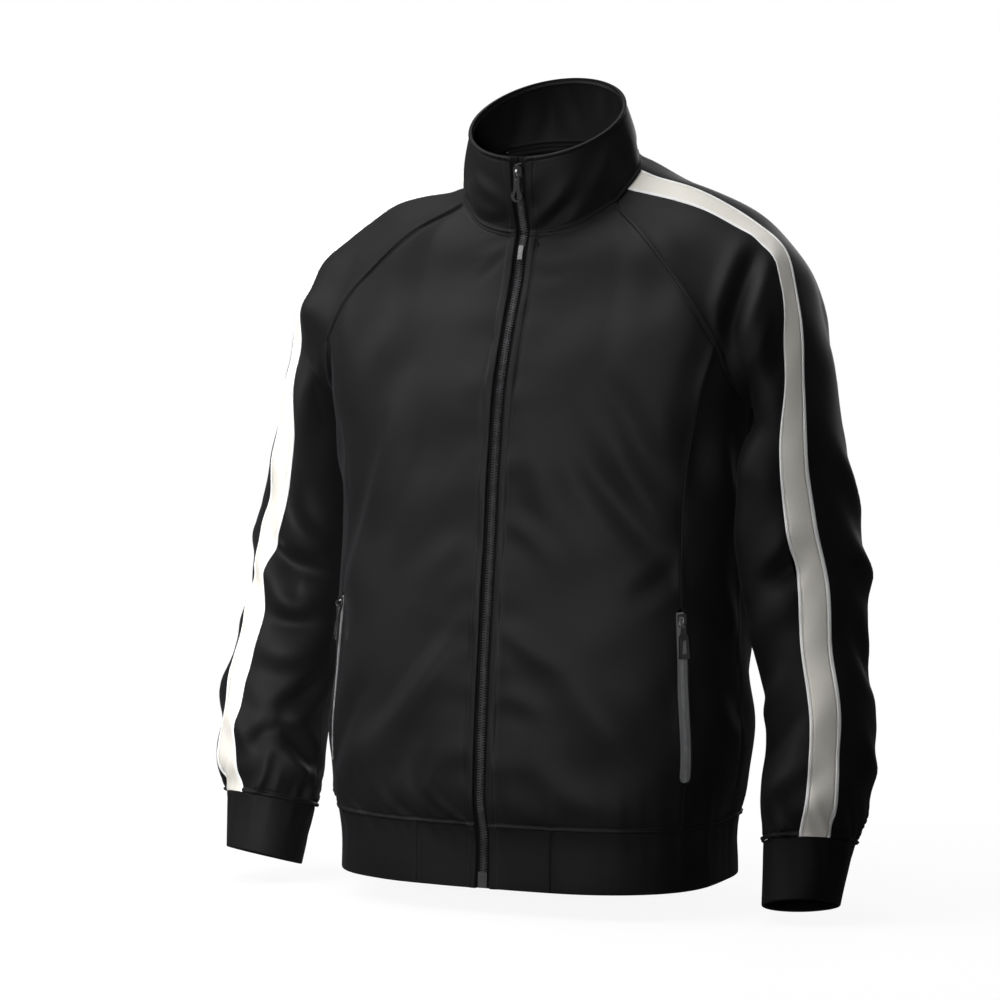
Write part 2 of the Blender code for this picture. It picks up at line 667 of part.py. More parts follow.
def add_slider(name, look, parent, place, turned):
    """A slider's plate with the arch that its pull hangs from. Outward is its own -Y."""
    outline = list(SLIDER_EDGE) + [(-across, up) for across, up in SLIDER_EDGE[::-1]]
    plate = add_object(name, extruded(name, outline, PLATE_THICK), look, parent, place, turned)
    arch_mesh = extruded(f"{name}_arch", arch_outline(), ARCH_WIDTH, side_view=True)
    arch = add_object(f"{name}_arch", arch_mesh, look, parent, place, turned)
    arch.hide_render = True
    arch.display_type = "WIRE"
    union = plate.modifiers.new("arch", "BOOLEAN")
    union.operation = "UNION"
    union.object = arch


def rounded(corners, radius, steps=4):
    """A closed outline with its corners rounded."""
    corners = [np.array(corner, float) for corner in corners]
    spots = []
    for before, corner, after in zip([corners[-1]] + corners[:-1], corners, corners[1:] + corners[:1]):
        back, ahead = unit(before - corner), unit(after - corner)
        for share in np.linspace(0, 1, steps + 1):
            first, last = corner + radius * back, corner + radius * ahead
            curve = (1 - share) ** 2 * first + 2 * share * (1 - share) * corner + share**2 * last
            spots.append(tuple(curve))
    return spots


def arc(middle, radius, start, end, steps):
    turns = np.radians(np.linspace(start, end, steps))
    return [(middle[0] + radius * math.cos(t), middle[1] + radius * math.sin(t)) for t in turns]


def add_pull(name, outlines, look, parent, place, rotation):
    """A flat pull with holes. Its origin is on its hinge, and outlines run across and up from it."""
    curve = bpy.data.curves.new(name, "CURVE")
    curve.dimensions = "2D"
    curve.fill_mode = "BOTH"
    curve.extrude = MM * PULL_THICK / 2
    for outline in outlines:
        line = curve.splines.new("POLY")
        line.points.add(len(outline) - 1)
        for point, (across, up) in zip(line.points, outline):
            point.co = (MM * across, MM * up, 0, 1)
        line.use_cyclic_u = True
    made = bpy.data.objects.new(name, curve)
    bpy.context.scene.collection.objects.link(made)
    made.parent = parent
    made.location = place
    made.rotation_euler = rotation
    curve.materials.append(look)
    return made


def arch_slot():
    half, length = ARCH_SLOT
    return rounded([(-half, -PULL_BAR), (half, -PULL_BAR), (half, -length), (-half, -length)], 0.5, 2)


def main_pull_outlines():
    """A narrow link that ends in a ring."""
    ring = (0.0, -20.0)
    outer = arc(ring, 5.6, 130, 410, 22)
    body = [(3.0, -9.0), (3.0, PULL_BAR), (-3.0, PULL_BAR), (-3.0, -9.0)]
    hole = arc((0.0, -20.8), 2.7, 200, 340, 8) + [(1.0, -15.6), (-1.0, -15.6)]
    return [outer + body, arch_slot(), hole]


def pocket_pull_outlines():
    """A narrow link that flares into a tab with a window."""
    side = [(2.6, PULL_BAR), (2.6, -10.0), (4.6, -13.5), (5.6, -34.0)]
    tab = rounded(side[::-1] + [(-across, up) for across, up in side], 0.7, 2)
    window = rounded([(-2.4, -16.5), (2.4, -16.5), (2.9, -29.5), (-2.9, -29.5)], 0.9, 3)
    return [tab, arch_slot(), window]


def rotation(*axes):
    """The rotation that takes a piece's own axes to these directions."""
    return Matrix(axes).transposed().to_euler()


def add_slider_and_pull(names, spot, up, out, lift, hang, outlines, look, parent):
    """A slider, its back this far above a spot on a zip, and the pull that hangs from its arch."""
    up = unit(up)
    out = unit(out - up * (out @ up))
    across = np.cross(up, out)
    middle = spot + (lift + MM * PLATE_THICK / 2) * out
    add_slider(names[0], look, parent, middle, rotation(across, -out, up))
    pivot = middle + MM * ((PLATE_THICK / 2 + PIVOT[0]) * out + PIVOT[1] * up)
    hang = unit(hang - across * (hang @ across))
    add_pull(names[1], outlines, look, parent, pivot, rotation(across, hang, np.cross(across, hang)))


def all_skins():
    """Every piece of the jacket's outside, as skins that share their points at the seams."""
    sleeves = {side: sleeve_skin(SLEEVE_ROWS, side) for side in ("left", "right")}
    cuff = sleeve_skin(CUFF_ROWS, "left")
    return {
        "body": whole(body_skin()),
        "hem": whole(hem_skin()),
        "collar": whole(collar_skin()),
        "sleeve_left": sleeves["left"],
        "sleeve_right": drawn_up(mirrored(sleeves["right"])),
        "cuff_left": cuff,
        "cuff_right": drawn_up(mirrored(cuff)),
    }


def fold_cloth(skins):
    """Adds the large folds to the body and both sleeves."""
    normals = shared_normals(skins)
    last = skins["body"].shape[1] - 1
    held = (0, POCKET, last - POCKET, last)
    skins["body"] = folded(skins["body"], normals["body"], BODY_FOLDS, body_place, held)
    left = folded(skins["sleeve_left"], normals["sleeve_left"], SLEEVE_FOLDS, sleeve_place)
    right = sleeve_skin(SLEEVE_ROWS, "right")
    right = folded(right, mirrored(normals["sleeve_right"]), SLEEVE_FOLDS, sleeve_place)
    skins["sleeve_left"], skins["sleeve_right"] = left, drawn_up(mirrored(right))


def add_panels(whole_name, panels, skins, normals, wall, look, parent, closed=False, rows=slice(None)):
    """Pieces cut from one skin, each named with its first and last column."""
    for name, first, last in panels:
        columns = slice(first, last + 1)
        skin = skins[whole_name][rows, columns]
        if name.startswith(("front", "side")):
            at_end = name in ("front_left", "side_right")
            skin = opened(skin, -1 if at_end else 0)
        add_wall(name, skin, normals[whole_name][rows, columns], (0, wall), look, parent, closed)


def add_cloth(skins, normals, looks, parent):
    """The panels, sleeves, stripes, collar, cuffs and hem."""
    last = 2 * MIDDLE
    body = (
        ("front_left", 0, POCKET),
        ("side_left", POCKET, SIDE),
        ("back", SIDE, last - SIDE),
        ("side_right", last - SIDE, last - POCKET),
        ("front_right", last - POCKET, last),
    )
    add_panels("body", body, skins, normals, CLOTH_WALL, looks["cloth"], parent)
    tabs = (("hem_tab_left", 0, CORNER), ("hem_tab_right", last - CORNER, last))
    add_panels("hem", tabs, skins, normals, RIB_WALL, looks["rib"], parent)
    band = (("hem_band", CORNER, last - CORNER),)
    add_panels("hem", band, skins, normals, RIB_WALL, looks["rib"], parent)
    rim = (("collar", 0, skins["collar"].shape[1] - 1),)
    add_panels("collar", rim, skins, normals, COLLAR_WALL, looks["cloth"], parent)
    pieces = ("sleeve_front", "piping_front", "stripe", "piping_back", "sleeve_back")
    stops = np.concatenate([[0], np.cumsum(SLEEVE_STEPS)])
    for side in ("left", "right"):
        ends = stops if side == "left" else stops[-1] - stops
        for piece, a, b in zip(pieces, ends, ends[1:]):
            look = looks[piece.split("_")[0].replace("sleeve", "cloth")]
            parts = {f"{piece}_{side}": slice(None)}
            if piece == "sleeve_back":
                lower, upper = slice(None, ELBOW_ROW + 1), slice(ELBOW_ROW, None)
                parts = {f"{piece}_lower_{side}": lower, f"{piece}_upper_{side}": upper}
            for name, rows in parts.items():
                panel = ((name, min(a, b), max(a, b)),)
                add_panels(f"sleeve_{side}", panel, skins, normals, CLOTH_WALL, look, parent, rows=rows)
        cuff = ((f"cuff_{side}", 0, stops[-1]),)
        add_panels(f"cuff_{side}", cuff, skins, normals, RIB_WALL, looks["rib"], parent, closed=True)


def add_zips(skins, normals, looks, parent):
    """The front zip and the two pocket zips, closed, with their pulls down."""
    add_front_zip(looks, parent)
    low, high = collar_between(
        np.array([NECK_FRONT[0]], float), rim_point(np.zeros(1)), COLLAR_ROWS
    )[-2:, 0]
    up = unit(high - low)
    out = np.cross((1.0, 0.0, 0.0), up)
    spot = low + up * (SLIDER_HEIGHT - low[2]) / up[2]
    upright = np.array((0.0, 0.0, 1.0))
    lift = CHAIN_GAP - CHAIN_DEPTHS[0]
    names = ("zip_slider", "zip_pull")
    outlines = main_pull_outlines()
    add_slider_and_pull(names, spot, up, out, lift, upright, outlines, looks["metal"], parent)
    for side, column in (("left", POCKET), ("right", 2 * MIDDLE - POCKET)):
        line = pocket_line(skins["body"], normals["body"], column)
        add_pocket_zip(side, line, looks, parent)
        points, outs, _ = line
        up = unit(points[-1] - points[-2])
        spot = points[-1] - up * POCKET_SLIDER_BELOW
        names = (f"pocket_slider_{side}", f"pocket_pull_{side}")
        lift = CHAIN_GAP - POCKET_COIL_DEPTHS[0]
        outlines = pocket_pull_outlines()
        add_slider_and_pull(names, spot, up, outs[-1], lift, up, outlines, looks["metal"], parent)


def main():
    for leftover in list(bpy.data.objects):
        bpy.data.objects.remove(leftover)
    looks = {
        "cloth": material("black cloth", (0.018, 0.018, 0.020), 0.75),
        "rib": material("black rib", (0.016, 0.016, 0.017), 0.85),
        "stripe": material("cream cloth", (0.80, 0.77, 0.69), 0.7),
        "piping": material("white piping", (0.90, 0.90, 0.88), 0.6),
        "tape": material("black tape", (0.012, 0.012, 0.013), 0.8),
        "chain": material("dark chain", (0.05, 0.05, 0.055), 0.45),
        "grey": material("grey zip", (0.16, 0.16, 0.17), 0.45),
        "metal": material("gunmetal", (0.16, 0.16, 0.17), 0.35, 1.0),
    }
    hold = bpy.data.objects.new("jacket", None)
    bpy.context.scene.collection.objects.link(hold)
    hold.location = tuple(-size for size in NECK_HOLD)
    skins = all_skins()
    fold_cloth(skins)
    normals = shared_normals(skins)
    add_cloth(skins, normals, looks, hold)
    add_zips(skins, normals, looks, hold)


main()
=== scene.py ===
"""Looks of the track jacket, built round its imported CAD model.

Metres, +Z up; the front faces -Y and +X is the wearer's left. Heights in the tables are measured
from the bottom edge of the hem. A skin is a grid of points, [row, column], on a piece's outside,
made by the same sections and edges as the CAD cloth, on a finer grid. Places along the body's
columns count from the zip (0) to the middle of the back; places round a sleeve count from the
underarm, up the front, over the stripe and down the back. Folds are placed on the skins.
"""

import math
from collections import namedtuple

import bmesh
import bpy
import numpy as np
from mathutils import Matrix, Vector

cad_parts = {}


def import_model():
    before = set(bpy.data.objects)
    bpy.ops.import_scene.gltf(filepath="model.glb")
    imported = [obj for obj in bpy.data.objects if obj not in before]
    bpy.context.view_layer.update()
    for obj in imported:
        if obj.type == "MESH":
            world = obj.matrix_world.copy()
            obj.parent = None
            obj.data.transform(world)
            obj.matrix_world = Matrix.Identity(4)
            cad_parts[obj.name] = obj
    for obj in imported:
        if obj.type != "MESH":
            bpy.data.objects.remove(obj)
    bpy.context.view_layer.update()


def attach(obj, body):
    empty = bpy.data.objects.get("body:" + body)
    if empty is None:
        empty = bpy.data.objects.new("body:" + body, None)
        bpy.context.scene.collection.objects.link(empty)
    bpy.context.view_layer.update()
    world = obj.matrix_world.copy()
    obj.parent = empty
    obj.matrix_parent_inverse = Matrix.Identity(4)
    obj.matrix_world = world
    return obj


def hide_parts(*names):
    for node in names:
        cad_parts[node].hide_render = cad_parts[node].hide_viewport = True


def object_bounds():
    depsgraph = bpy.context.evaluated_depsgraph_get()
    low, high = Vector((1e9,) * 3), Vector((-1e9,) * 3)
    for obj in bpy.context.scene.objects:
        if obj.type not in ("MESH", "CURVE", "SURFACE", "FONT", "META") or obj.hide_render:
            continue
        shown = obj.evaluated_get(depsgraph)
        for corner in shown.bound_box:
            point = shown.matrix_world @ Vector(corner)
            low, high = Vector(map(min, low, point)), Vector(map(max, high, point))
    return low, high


NECK_HOLD = np.array((0.0, 0.022, 0.645))

# Cloth
JACKET = "jacket"  # the CAD body that every piece but the pulls rides on
CLOTH_THICK = 0.0016
COLLAR_THICK = 0.0030
BAND_THICK = 0.0028
STRIPE_WIDTH = 0.030
PIPING_WIDTH = 0.0035
SHOULDER_STRIPE = (0.019, 0.049)
ZIP_OPENING = 0.0135
POCKET_OPENING = 0.0116

Torso = namedtuple("Torso", "height half_width front back widest squareness")
TORSO = (
    Torso(0.000, 0.188, -0.131, 0.112, 0.000, 3.0),
    Torso(0.058, 0.190, -0.131, 0.112, 0.000, 3.0),
    Torso(0.075, 0.196, -0.136, 0.118, 0.000, 2.8),
    Torso(0.110, 0.202, -0.136, 0.124, 0.002, 2.7),
    Torso(0.200, 0.201, -0.129, 0.126, 0.004, 2.6),
    Torso(0.300, 0.199, -0.116, 0.124, 0.008, 2.5),
    Torso(0.400, 0.202, -0.104, 0.126, 0.014, 2.5),
    Torso(0.460, 0.205, -0.094, 0.130, 0.020, 2.7),
    Torso(0.520, 0.211, -0.073, 0.130, 0.026, 3.2),
    Torso(0.560, 0.209, -0.055, 0.126, 0.032, 3.4),
    Torso(0.605, 0.200, -0.039, 0.122, 0.035, 3.2),
    Torso(0.640, 0.165, -0.007, 0.112, 0.040, 2.7),
    Torso(0.690, 0.140, 0.005, 0.080, 0.045, 2.3),
)
HEM_SEAM = 0.058
TOP_ROWS = 0.62
POCKET_SHARES = (0.1, 0.446)
CORNER_TURN, POCKET_TURN, SIDE_TURN, BACK_CORNER_TURN = 20.4, 57.5, 91.0, 150.0

Point = namedtuple("Point", "across along height")
NECK_FRONT = (
    Point(0.0, -0.039, 0.605),
    Point(0.018, -0.0377, 0.6056),
    Point(0.044, -0.0300, 0.611),
    Point(0.078, -0.0035, 0.634),
)
RAGLAN_FRONT = (
    NECK_FRONT[-1],
    Point(0.125, -0.037, 0.603),
    Point(0.153, -0.048, 0.575),
    Point(0.177, -0.054, 0.547),
    Point(0.199, -0.050, 0.512),
)
ARMHOLE_FRONT = (RAGLAN_FRONT[-1], Point(0.207, -0.027, 0.473), Point(0.2055, 0.020, 0.452))
RAGLAN_BACK = (
    ARMHOLE_FRONT[-1],
    Point(0.2065, 0.055, 0.463),
    Point(0.205, 0.078, 0.500),
    Point(0.187, 0.103, 0.555),
    Point(0.155, 0.110, 0.600),
    Point(0.115, 0.101, 0.640),
    Point(0.067, 0.071, 0.680),
)
NECK_SIDE = (NECK_FRONT[-1], Point(0.088, 0.028, 0.662), RAGLAN_BACK[-1])
NECK_BACK = (
    RAGLAN_BACK[-1],
    Point(0.036, 0.0885, 0.6848),
    Point(0.014, 0.0942, 0.6859),
    Point(0.0, 0.0950, 0.686),
)
BODY_SPANS = ((NECK_FRONT, 5), (RAGLAN_FRONT, 8), (ARMHOLE_FRONT, 3), (RAGLAN_BACK, 8), (NECK_BACK, 4))
CORNER, POCKET, SIDE, BACK_CORNER, MIDDLE = 5, 13, 16, 24, 28  # places along the body's columns

# Runs of the body's columns: start, end, length and which ends are seams
BODY_RUNS = (
    (0, CORNER, 0.075, (True, False)),
    (CORNER, POCKET, 0.145, (False, True)),
    (POCKET, SIDE, 0.085, (True, True)),
    (SIDE, BACK_CORNER, 0.200, (True, False)),
    (BACK_CORNER, MIDDLE, 0.080, (False, False)),
)

RIM_HALF_WIDTH, RIM_MIDDLE, RIM_HALF_DEPTH = 0.074, 0.013, 0.067
RIM_FRONT_HEIGHT, RIM_RISE = 0.677, 0.55
COLLAR_BULGE = 0.003
BASE_MIDDLE = 0.028  # along, of the collar's base

Sleeve = namedtuple("Sleeve", "outer outer_height inner inner_height middle half_depth bulge stripe crowding")
SLEEVE = (
    Sleeve(0.165, 0.632, 0.2115, 0.447, 0.036, 0.084, 0.014, 2, 0.68),
    Sleeve(0.230, 0.590, 0.2130, 0.436, 0.044, 0.082, 0.006, 12, 0.78),
    Sleeve(0.264, 0.512, 0.2135, 0.418, 0.042, 0.078, 0.0, 38, 0.9),
    Sleeve(0.284, 0.425, 0.2130, 0.375, 0.036, 0.073, 0.0, 61, 1),
    Sleeve(0.300, 0.350, 0.2130, 0.318, 0.033, 0.069, 0.0, 65, 1),
    Sleeve(0.314, 0.290, 0.2160, 0.270, 0.032, 0.066, 0.0, 64, 1),
    Sleeve(0.319, 0.225, 0.2220, 0.205, 0.020, 0.064, 0.0, 62, 1),
    Sleeve(0.333, 0.155, 0.2350, 0.140, 0.004, 0.061, 0.0, 61, 1),
    Sleeve(0.335, 0.088, 0.2330, 0.078, -0.010, 0.057, 0.0, 61, 1),
    Sleeve(0.323, 0.050, 0.2380, 0.042, -0.018, 0.046, 0.0, 61, 1),
    Sleeve(0.316, -0.006, 0.2430, -0.016, -0.035, 0.040, 0.0, 61, 1),
)
RIGHT_ARM_RISE, RISE_STARTS = 0.008, 0.24
RIGHT_STRIPES = (2, 36, 69, 78, 76, 65, 66, 66, 61, 58, 58)
LEFT_HANG = (-0.008, -0.027, 0.0)
HANG_HEIGHTS = (0.17, 0.30, 0.385, 0.438)
CUFF_LOOP, END_LOOP = 10, 11
# Places round the sleeve: raglan corner, edges of the stripe and its piping, back raglan corner
ARM_CORNER, STRIPE_EDGES, ARM_BACK_CORNER, ARM_END = 11, (12, 13, 15, 16), 18, 26

# Distances from a seam at which a fine grid has a line, so that the seam's shape shows
NEAR_SEAM = (0.0, 0.0004, 0.0010, 0.0018, 0.0027, 0.0036, 0.0046, 0.0056, 0.0068, 0.0085)
CLOTH_STEP, BAND_STEP, COLLAR_STEP, STRIPE_STEP = 0.0042, 0.0035, 0.0030, 0.0023
BODY_RISE, SLEEVE_RUN, COLLAR_RISE, CUFF_RUN = 0.50, 0.62, 0.070, 0.057  # lengths of their columns
FRONT_SLEEVE_WIDTH, BACK_SLEEVE_WIDTH = 0.165, 0.175
GROOVE_WIDTH = 0.0006
COLLAR_ROUND = 0.0045  # radius of the collar's corners at the zip
PIPING_LIFT = 0.0007
PUCKER_LIFT, PUCKER_STARTS, PUCKER_REACH = 0.0007, (0.007, 0.016), 0.022  # beside the front zip
GAPE_ENDS, GAPE_REACH = 0.004, 0.012  # how a pocket's lips part at its ends and away from it
RIGHT_UNEVENNESS = 1.3  # how much closer the right sleeve's waves are
NECK_FRONT_LENGTH, NECK_SIDE_LENGTH, NECK_BACK_LENGTH = 0.075, 0.095, 0.072

# Gathers beside a seam: how far they run from it, and their size
BODY_GATHERS, HEM_GATHERS = (0.011, 0.0006), (0.012, 0.0004)
SLEEVE_GATHERS, CUFF_GATHERS = (0.010, 0.0016), (0.012, 0.0005)

# Studio
FLOOR_GAP = 0.001  # below the hem
WALL_REACH, WALL_SIDES = 9.0, 48
WHITE, BLACK = (1, 1, 1, 1), (0, 0, 0, 1)
WORLD_LIGHT = 0.07
LIGHT_DISTANCE = 2.6
LIGHTS = (  # name, direction, size and power and, for one, where it aims and its spread in degrees
    ("key", (-0.75, -0.45, 0.50), 1.6, 32),
    ("top", (-0.20, 0.00, 1.00), 2.0, 54),
    ("high key", (-0.45, -0.45, 0.80), 1.5, 18),
    ("front", (0.30, -0.90, 0.15), 0.8, 3.0, (-0.40, 0, -0.35), 30),
    ("back", (-0.10, 0.97, 0.25), 1.6, 22),
)
CAMERA_TURN, CAMERA_RISE = 25, 5  # degrees
CAMERA_DISTANCE, CAMERA_LENS = 4.5, 171
AIM_LEFT, AIM_HEIGHT = 0.039, 0.352  # the spot in the middle of the view, left of the jacket's middle
FLOOR_REACH = 1.6  # how far the floor takes the jacket's shadow
FLOOR_SHADE = 0.10  # how dark that shadow can be

# A fold follows the places in its path. Its lift is outward, or negative in a trough, and its lean
# makes the side to the wearer's left steeper.
Fold = namedtuple("Fold", "path width lift lean", defaults=(0.0,))
FOLD_REACH = 4.2  # widths from its path at which a fold has died away
FLANK_LIFT, FLANK_PLACE, FLANK_WIDTH = 0.32, 2.1, 0.9  # the dips beside it, as shares of its own
FOLD_ENDS, FOLD_FADE = (0.03, 0.97), 0.8  # how it dies away along its path


def fold_table(*rows):
    """Folds from rows of a path, a width and a lift in millimetres and, for some, a lean."""
    return [Fold(path, width / 1000, lift / 1000, *lean) for path, width, lift, *lean in rows]


# Folds of the body: (turn in degrees, height in millimetres)
BODY_FOLDS = fold_table(
    # wearer's right front
    (((-28, 460), (-35, 380), (-43, 309), (-50, 255)), 16, 5, 0.3),
    (((-22, 430), (-29, 360), (-37, 300)), 13, -3),
    (((-2, 345), (-10, 315), (-19, 285)), 10, 2.6, -0.2),
    (((-3, 375), (-9, 390), (-16, 340)), 12, 1.6),
    (((-3, 268), (-14, 208), (-26, 153), (-41, 105)), 14, 4.8, 0.3),
    (((-4, 225), (-15, 165), (-26, 112)), 11, -3.4),
    (((-36, 190), (-47, 135), (-56, 90)), 12, -3.2),
    (((-5, 150), (-12, 110), (-17, 78)), 10, 3.2),
    (((-20, 120), (-23, 92), (-24, 70)), 9, 3),
    (((-30, 520), (-36, 490), (-42, 450)), 14, 2.6),
    # wearer's left front
    (((26, 480), (35, 440), (43, 390)), 12, -3),
    (((18, 440), (28, 385), (39, 345), (53, 294)), 13, -3.6, 0.2),
    (((30, 420), (41, 365), (52, 325)), 13, 3.4),
    (((7, 450), (11, 395), (15, 340)), 11, 2.6),
    (((3, 352), (10, 333), (19, 305)), 8, 2.4),
    (((4, 248), (13, 225), (24, 205)), 9, 2.8),
    (((4, 185), (11, 178), (19, 165)), 9, 2.2),
    (((20, 215), (30, 170), (45, 122)), 16, 3.4),
    (((38, 270), (47, 286), (54, 300)), 9, -3),
    (((12, 130), (22, 98), (33, 78)), 12, 2.6),
    (((55, 440), (58, 400), (60, 350)), 12, -2.6),
    # sides, under both arms
    (((60, 430), (72, 385), (84, 350)), 13, 4),
    (((70, 300), (82, 255), (92, 225)), 14, 3.6),
    (((66, 185), (80, 150), (95, 130)), 13, 3.4),
    (((-62, 425), (-74, 380), (-88, 345)), 13, 4),
    (((-70, 290), (-84, 240), (-96, 215)), 14, 3.8),
    (((-64, 190), (-80, 145), (-94, 120)), 13, 3.4),
    # back
    (((150, 560), (152, 500), (149, 430), (142, 360)), 20, 4.6, 0.2),
    (((-152, 560), (-150, 490), (-151, 420), (-146, 340)), 18, 5, -0.2),
    (((128, 470), (120, 410), (108, 350)), 15, 4.6),
    (((-130, 460), (-118, 395), (-106, 340)), 16, 4.4),
    (((140, 330), (155, 250), (166, 180)), 17, 4.2),
    (((-128, 310), (-145, 225), (-160, 150)), 16, 4.6),
    (((112, 250), (126, 190), (138, 130)), 14, 3.8),
    (((-108, 230), (-120, 170), (-128, 110)), 15, 3.6),
    (((172, 420), (180, 350), (188, 270)), 18, 3),
    (((168, 150), (176, 110), (180, 75)), 12, 3),
    (((-168, 620), (-176, 590), (-184, 615)), 14, 2.4),
)
# Drag lines of the yoke under the collar, both sides of the zip
YOKE_FOLDS = fold_table(
    (((3, 600), (9, 588), (16, 590)), 4, -2.2),
    (((-3, 592), (-9, 570), (-13, 560)), 4, -2.2),
    (((-4, 603), (-10, 594), (-17, 590)), 3.6, -1.8),
    (((3, 575), (8, 566), (14, 570)), 4.3, -1.5),
)
# Folds of the sleeves: (turn in degrees from the outer line to the front, loop down the sleeve)
LEFT_SLEEVE_FOLDS = fold_table(
    (((20, 1.75), (45, 1.75), (66, 1.7), (84, 1.6), (100, 1.5)), 8, -11.5),
    (((42, 2.25), (68, 2.45), (94, 2.45), (138, 1.8)), 11, 6.6),
    (((150, 3.2), (115, 3.9), (85, 4.6)), 13, 4.2),
    (((75, 4.9), (105, 5.4), (140, 5.6)), 11, 6.2),
    (((70, 5.5), (105, 5.9), (140, 6.3)), 9, -5.4),
    (((80, 6.2), (110, 6.5), (145, 6.9)), 11, 5.6),
    (((90, 7.2), (120, 7.6), (160, 7.9)), 11, 5),
    (((75, 7.7), (115, 8.2), (150, 8.4)), 9, -5),
    (((70, 8.3), (100, 8.7), (140, 9.0)), 10, 5),
    (((20, 5.4), (-10, 5.9), (-45, 6.0)), 12, 5),
    (((10, 4.2), (-25, 4.8), (-60, 5.2)), 14, 4.4),
    (((25, 6.6), (-5, 7.2), (-40, 7.4)), 12, -4.4),
    (((30, 8.0), (0, 8.5), (-40, 8.6)), 12, 4.6),
    (((-60, 1.4), (-75, 2.2), (-95, 3.0)), 16, 4.6),
    (((-110, 2.0), (-95, 3.0), (-75, 3.9)), 15, -4),
    (((-70, 4.6), (-100, 5.3), (-140, 5.6)), 13, 5.6),
    (((-80, 6.0), (-110, 6.6), (-150, 6.8)), 13, 5),
    (((-60, 7.2), (-95, 7.9), (-140, 8.2)), 13, 5.2),
)
RIGHT_SLEEVE_FOLDS = fold_table(
    (((100, 1.3), (72, 2.0), (52, 2.9)), 13, 4.2),
    (((150, 1.9), (115, 2.6), (92, 3.6)), 14, 4.4),
    (((80, 3.2), (84, 4.0), (92, 4.7)), 14, 3.4),
    (((84, 4.5), (98, 5.0), (122, 5.4), (150, 5.5)), 11, 6.8, 0.2),
    (((72, 5.5), (92, 5.9), (122, 6.05), (165, 6.1)), 8.5, -6.6),
    (((62, 6.0), (82, 6.3), (110, 6.7), (140, 6.6)), 10, 6.2),
    (((90, 6.9), (118, 6.9), (150, 6.8)), 9, -4.6),
    (((75, 7.3), (110, 7.4), (160, 7.3)), 12, 5.4),
    (((175, 7.5), (150, 7.9), (120, 8.25)), 8.5, -6.8),
    (((120, 8.3), (150, 8.65), (178, 8.9)), 8.5, -6),
    (((92, 8.9), (110, 8.6), (130, 8.5)), 8, -4.4),
    (((66, 8.3), (84, 8.55), (104, 8.9)), 10, 5),
    (((132, 8.7), (155, 9.1), (180, 9.2)), 8, 4.4),
    (((40, 5.2), (15, 5.8), (-20, 6.0)), 12, 5.6),
    (((52, 6.2), (30, 6.7), (-5, 7.0)), 11, -4.6),
    (((48, 7.6), (20, 8.2), (-20, 8.4)), 12, 4.8),
    (((-60, 1.6), (-80, 2.4), (-100, 3.1)), 16, 4.8),
    (((-115, 2.2), (-90, 3.2), (-70, 4.0)), 15, -4),
    (((-60, 4.4), (-95, 5.2), (-140, 5.5)), 13, 5.8),
    (((-75, 6.2), (-115, 6.7), (-155, 6.9)), 13, 5.2),
    (((-65, 7.4), (-100, 8.0), (-145, 8.3)), 13, 5),
)
COLLAR_FOLDS = fold_table(  # (turn in degrees from the front, share of the way up the collar)
    (((11, 0.12), (24, 0.36), (38, 0.62)), 5.4, 3.3),
    (((12, 0.02), (28, 0.20), (44, 0.40)), 5.4, -3.3),
    (((8, 0.30), (16, 0.56), (24, 0.78)), 4.9, -2.1),
    (((50, 0.30), (62, 0.55), (72, 0.80)), 7.2, 2.7),
    (((-10, 0.22), (-26, 0.10), (-44, 0.12)), 5.4, -3),
    (((-12, 0.38), (-30, 0.52), (-50, 0.60)), 5.9, 2.4),
    (((120, 0.10), (128, 0.50), (132, 0.90)), 7.2, 2.4),
    (((150, 0.10), (155, 0.50), (153, 0.90)), 6.3, -2.4),
    (((-150, 0.10), (-158, 0.50), (-156, 0.90)), 7.2, 2.4),
    (((-118, 0.10), (-124, 0.50), (-128, 0.90)), 6.3, -2.1),
    (((176, 0.15), (180, 0.50), (183, 0.85)), 7.2, 1.8),
)

# Knits: name, dark and light colour, roughness, specular, sheen, pitch of wales and courses, bump
BLACKS = ((0.0050, 0.0050, 0.0055), (0.0072, 0.0072, 0.0078))
CREAMS = ((0.74, 0.71, 0.65), (0.80, 0.77, 0.71))
WHITES = ((0.86, 0.86, 0.85), (0.92, 0.92, 0.91))
THREADS = ((0.010, 0.010, 0.011), (0.014, 0.014, 0.015))
TAPES = ((0.004, 0.004, 0.0045), (0.006, 0.006, 0.0065))
GREYS = ((0.130, 0.130, 0.134), (0.180, 0.180, 0.185))
KNITS = {
    "cloth": ("black tricot", *BLACKS, 0.62, 0.16, 0.02, 0.0011, 0.0009, 0.00006),
    "rib": ("black band knit", *BLACKS, 0.66, 0.14, 0.02, 0.0010, 0.0012, 0.00008),
    "stripe": ("cream stripe", *CREAMS, 0.75, 0.3, 0.1, 0.0011, 0.0009, 0.00006),
    "piping": ("white piping", *WHITES, 0.7, 0.3, 0.1, 0.0008, 0.0012, 0.00008),
    "thread": ("black thread", *THREADS, 0.5, 0.3, 0.0, 0.0004, 0.0004, 0.00002),
    "tape": ("black zip tape", *TAPES, 0.8, 0.1, 0.0, 0.0007, 0.0010, 0.0001),
    "grey_zip": ("grey zip tape", *GREYS, 0.6, 0.4, 0.0, 0.0007, 0.0010, 0.0001),
}

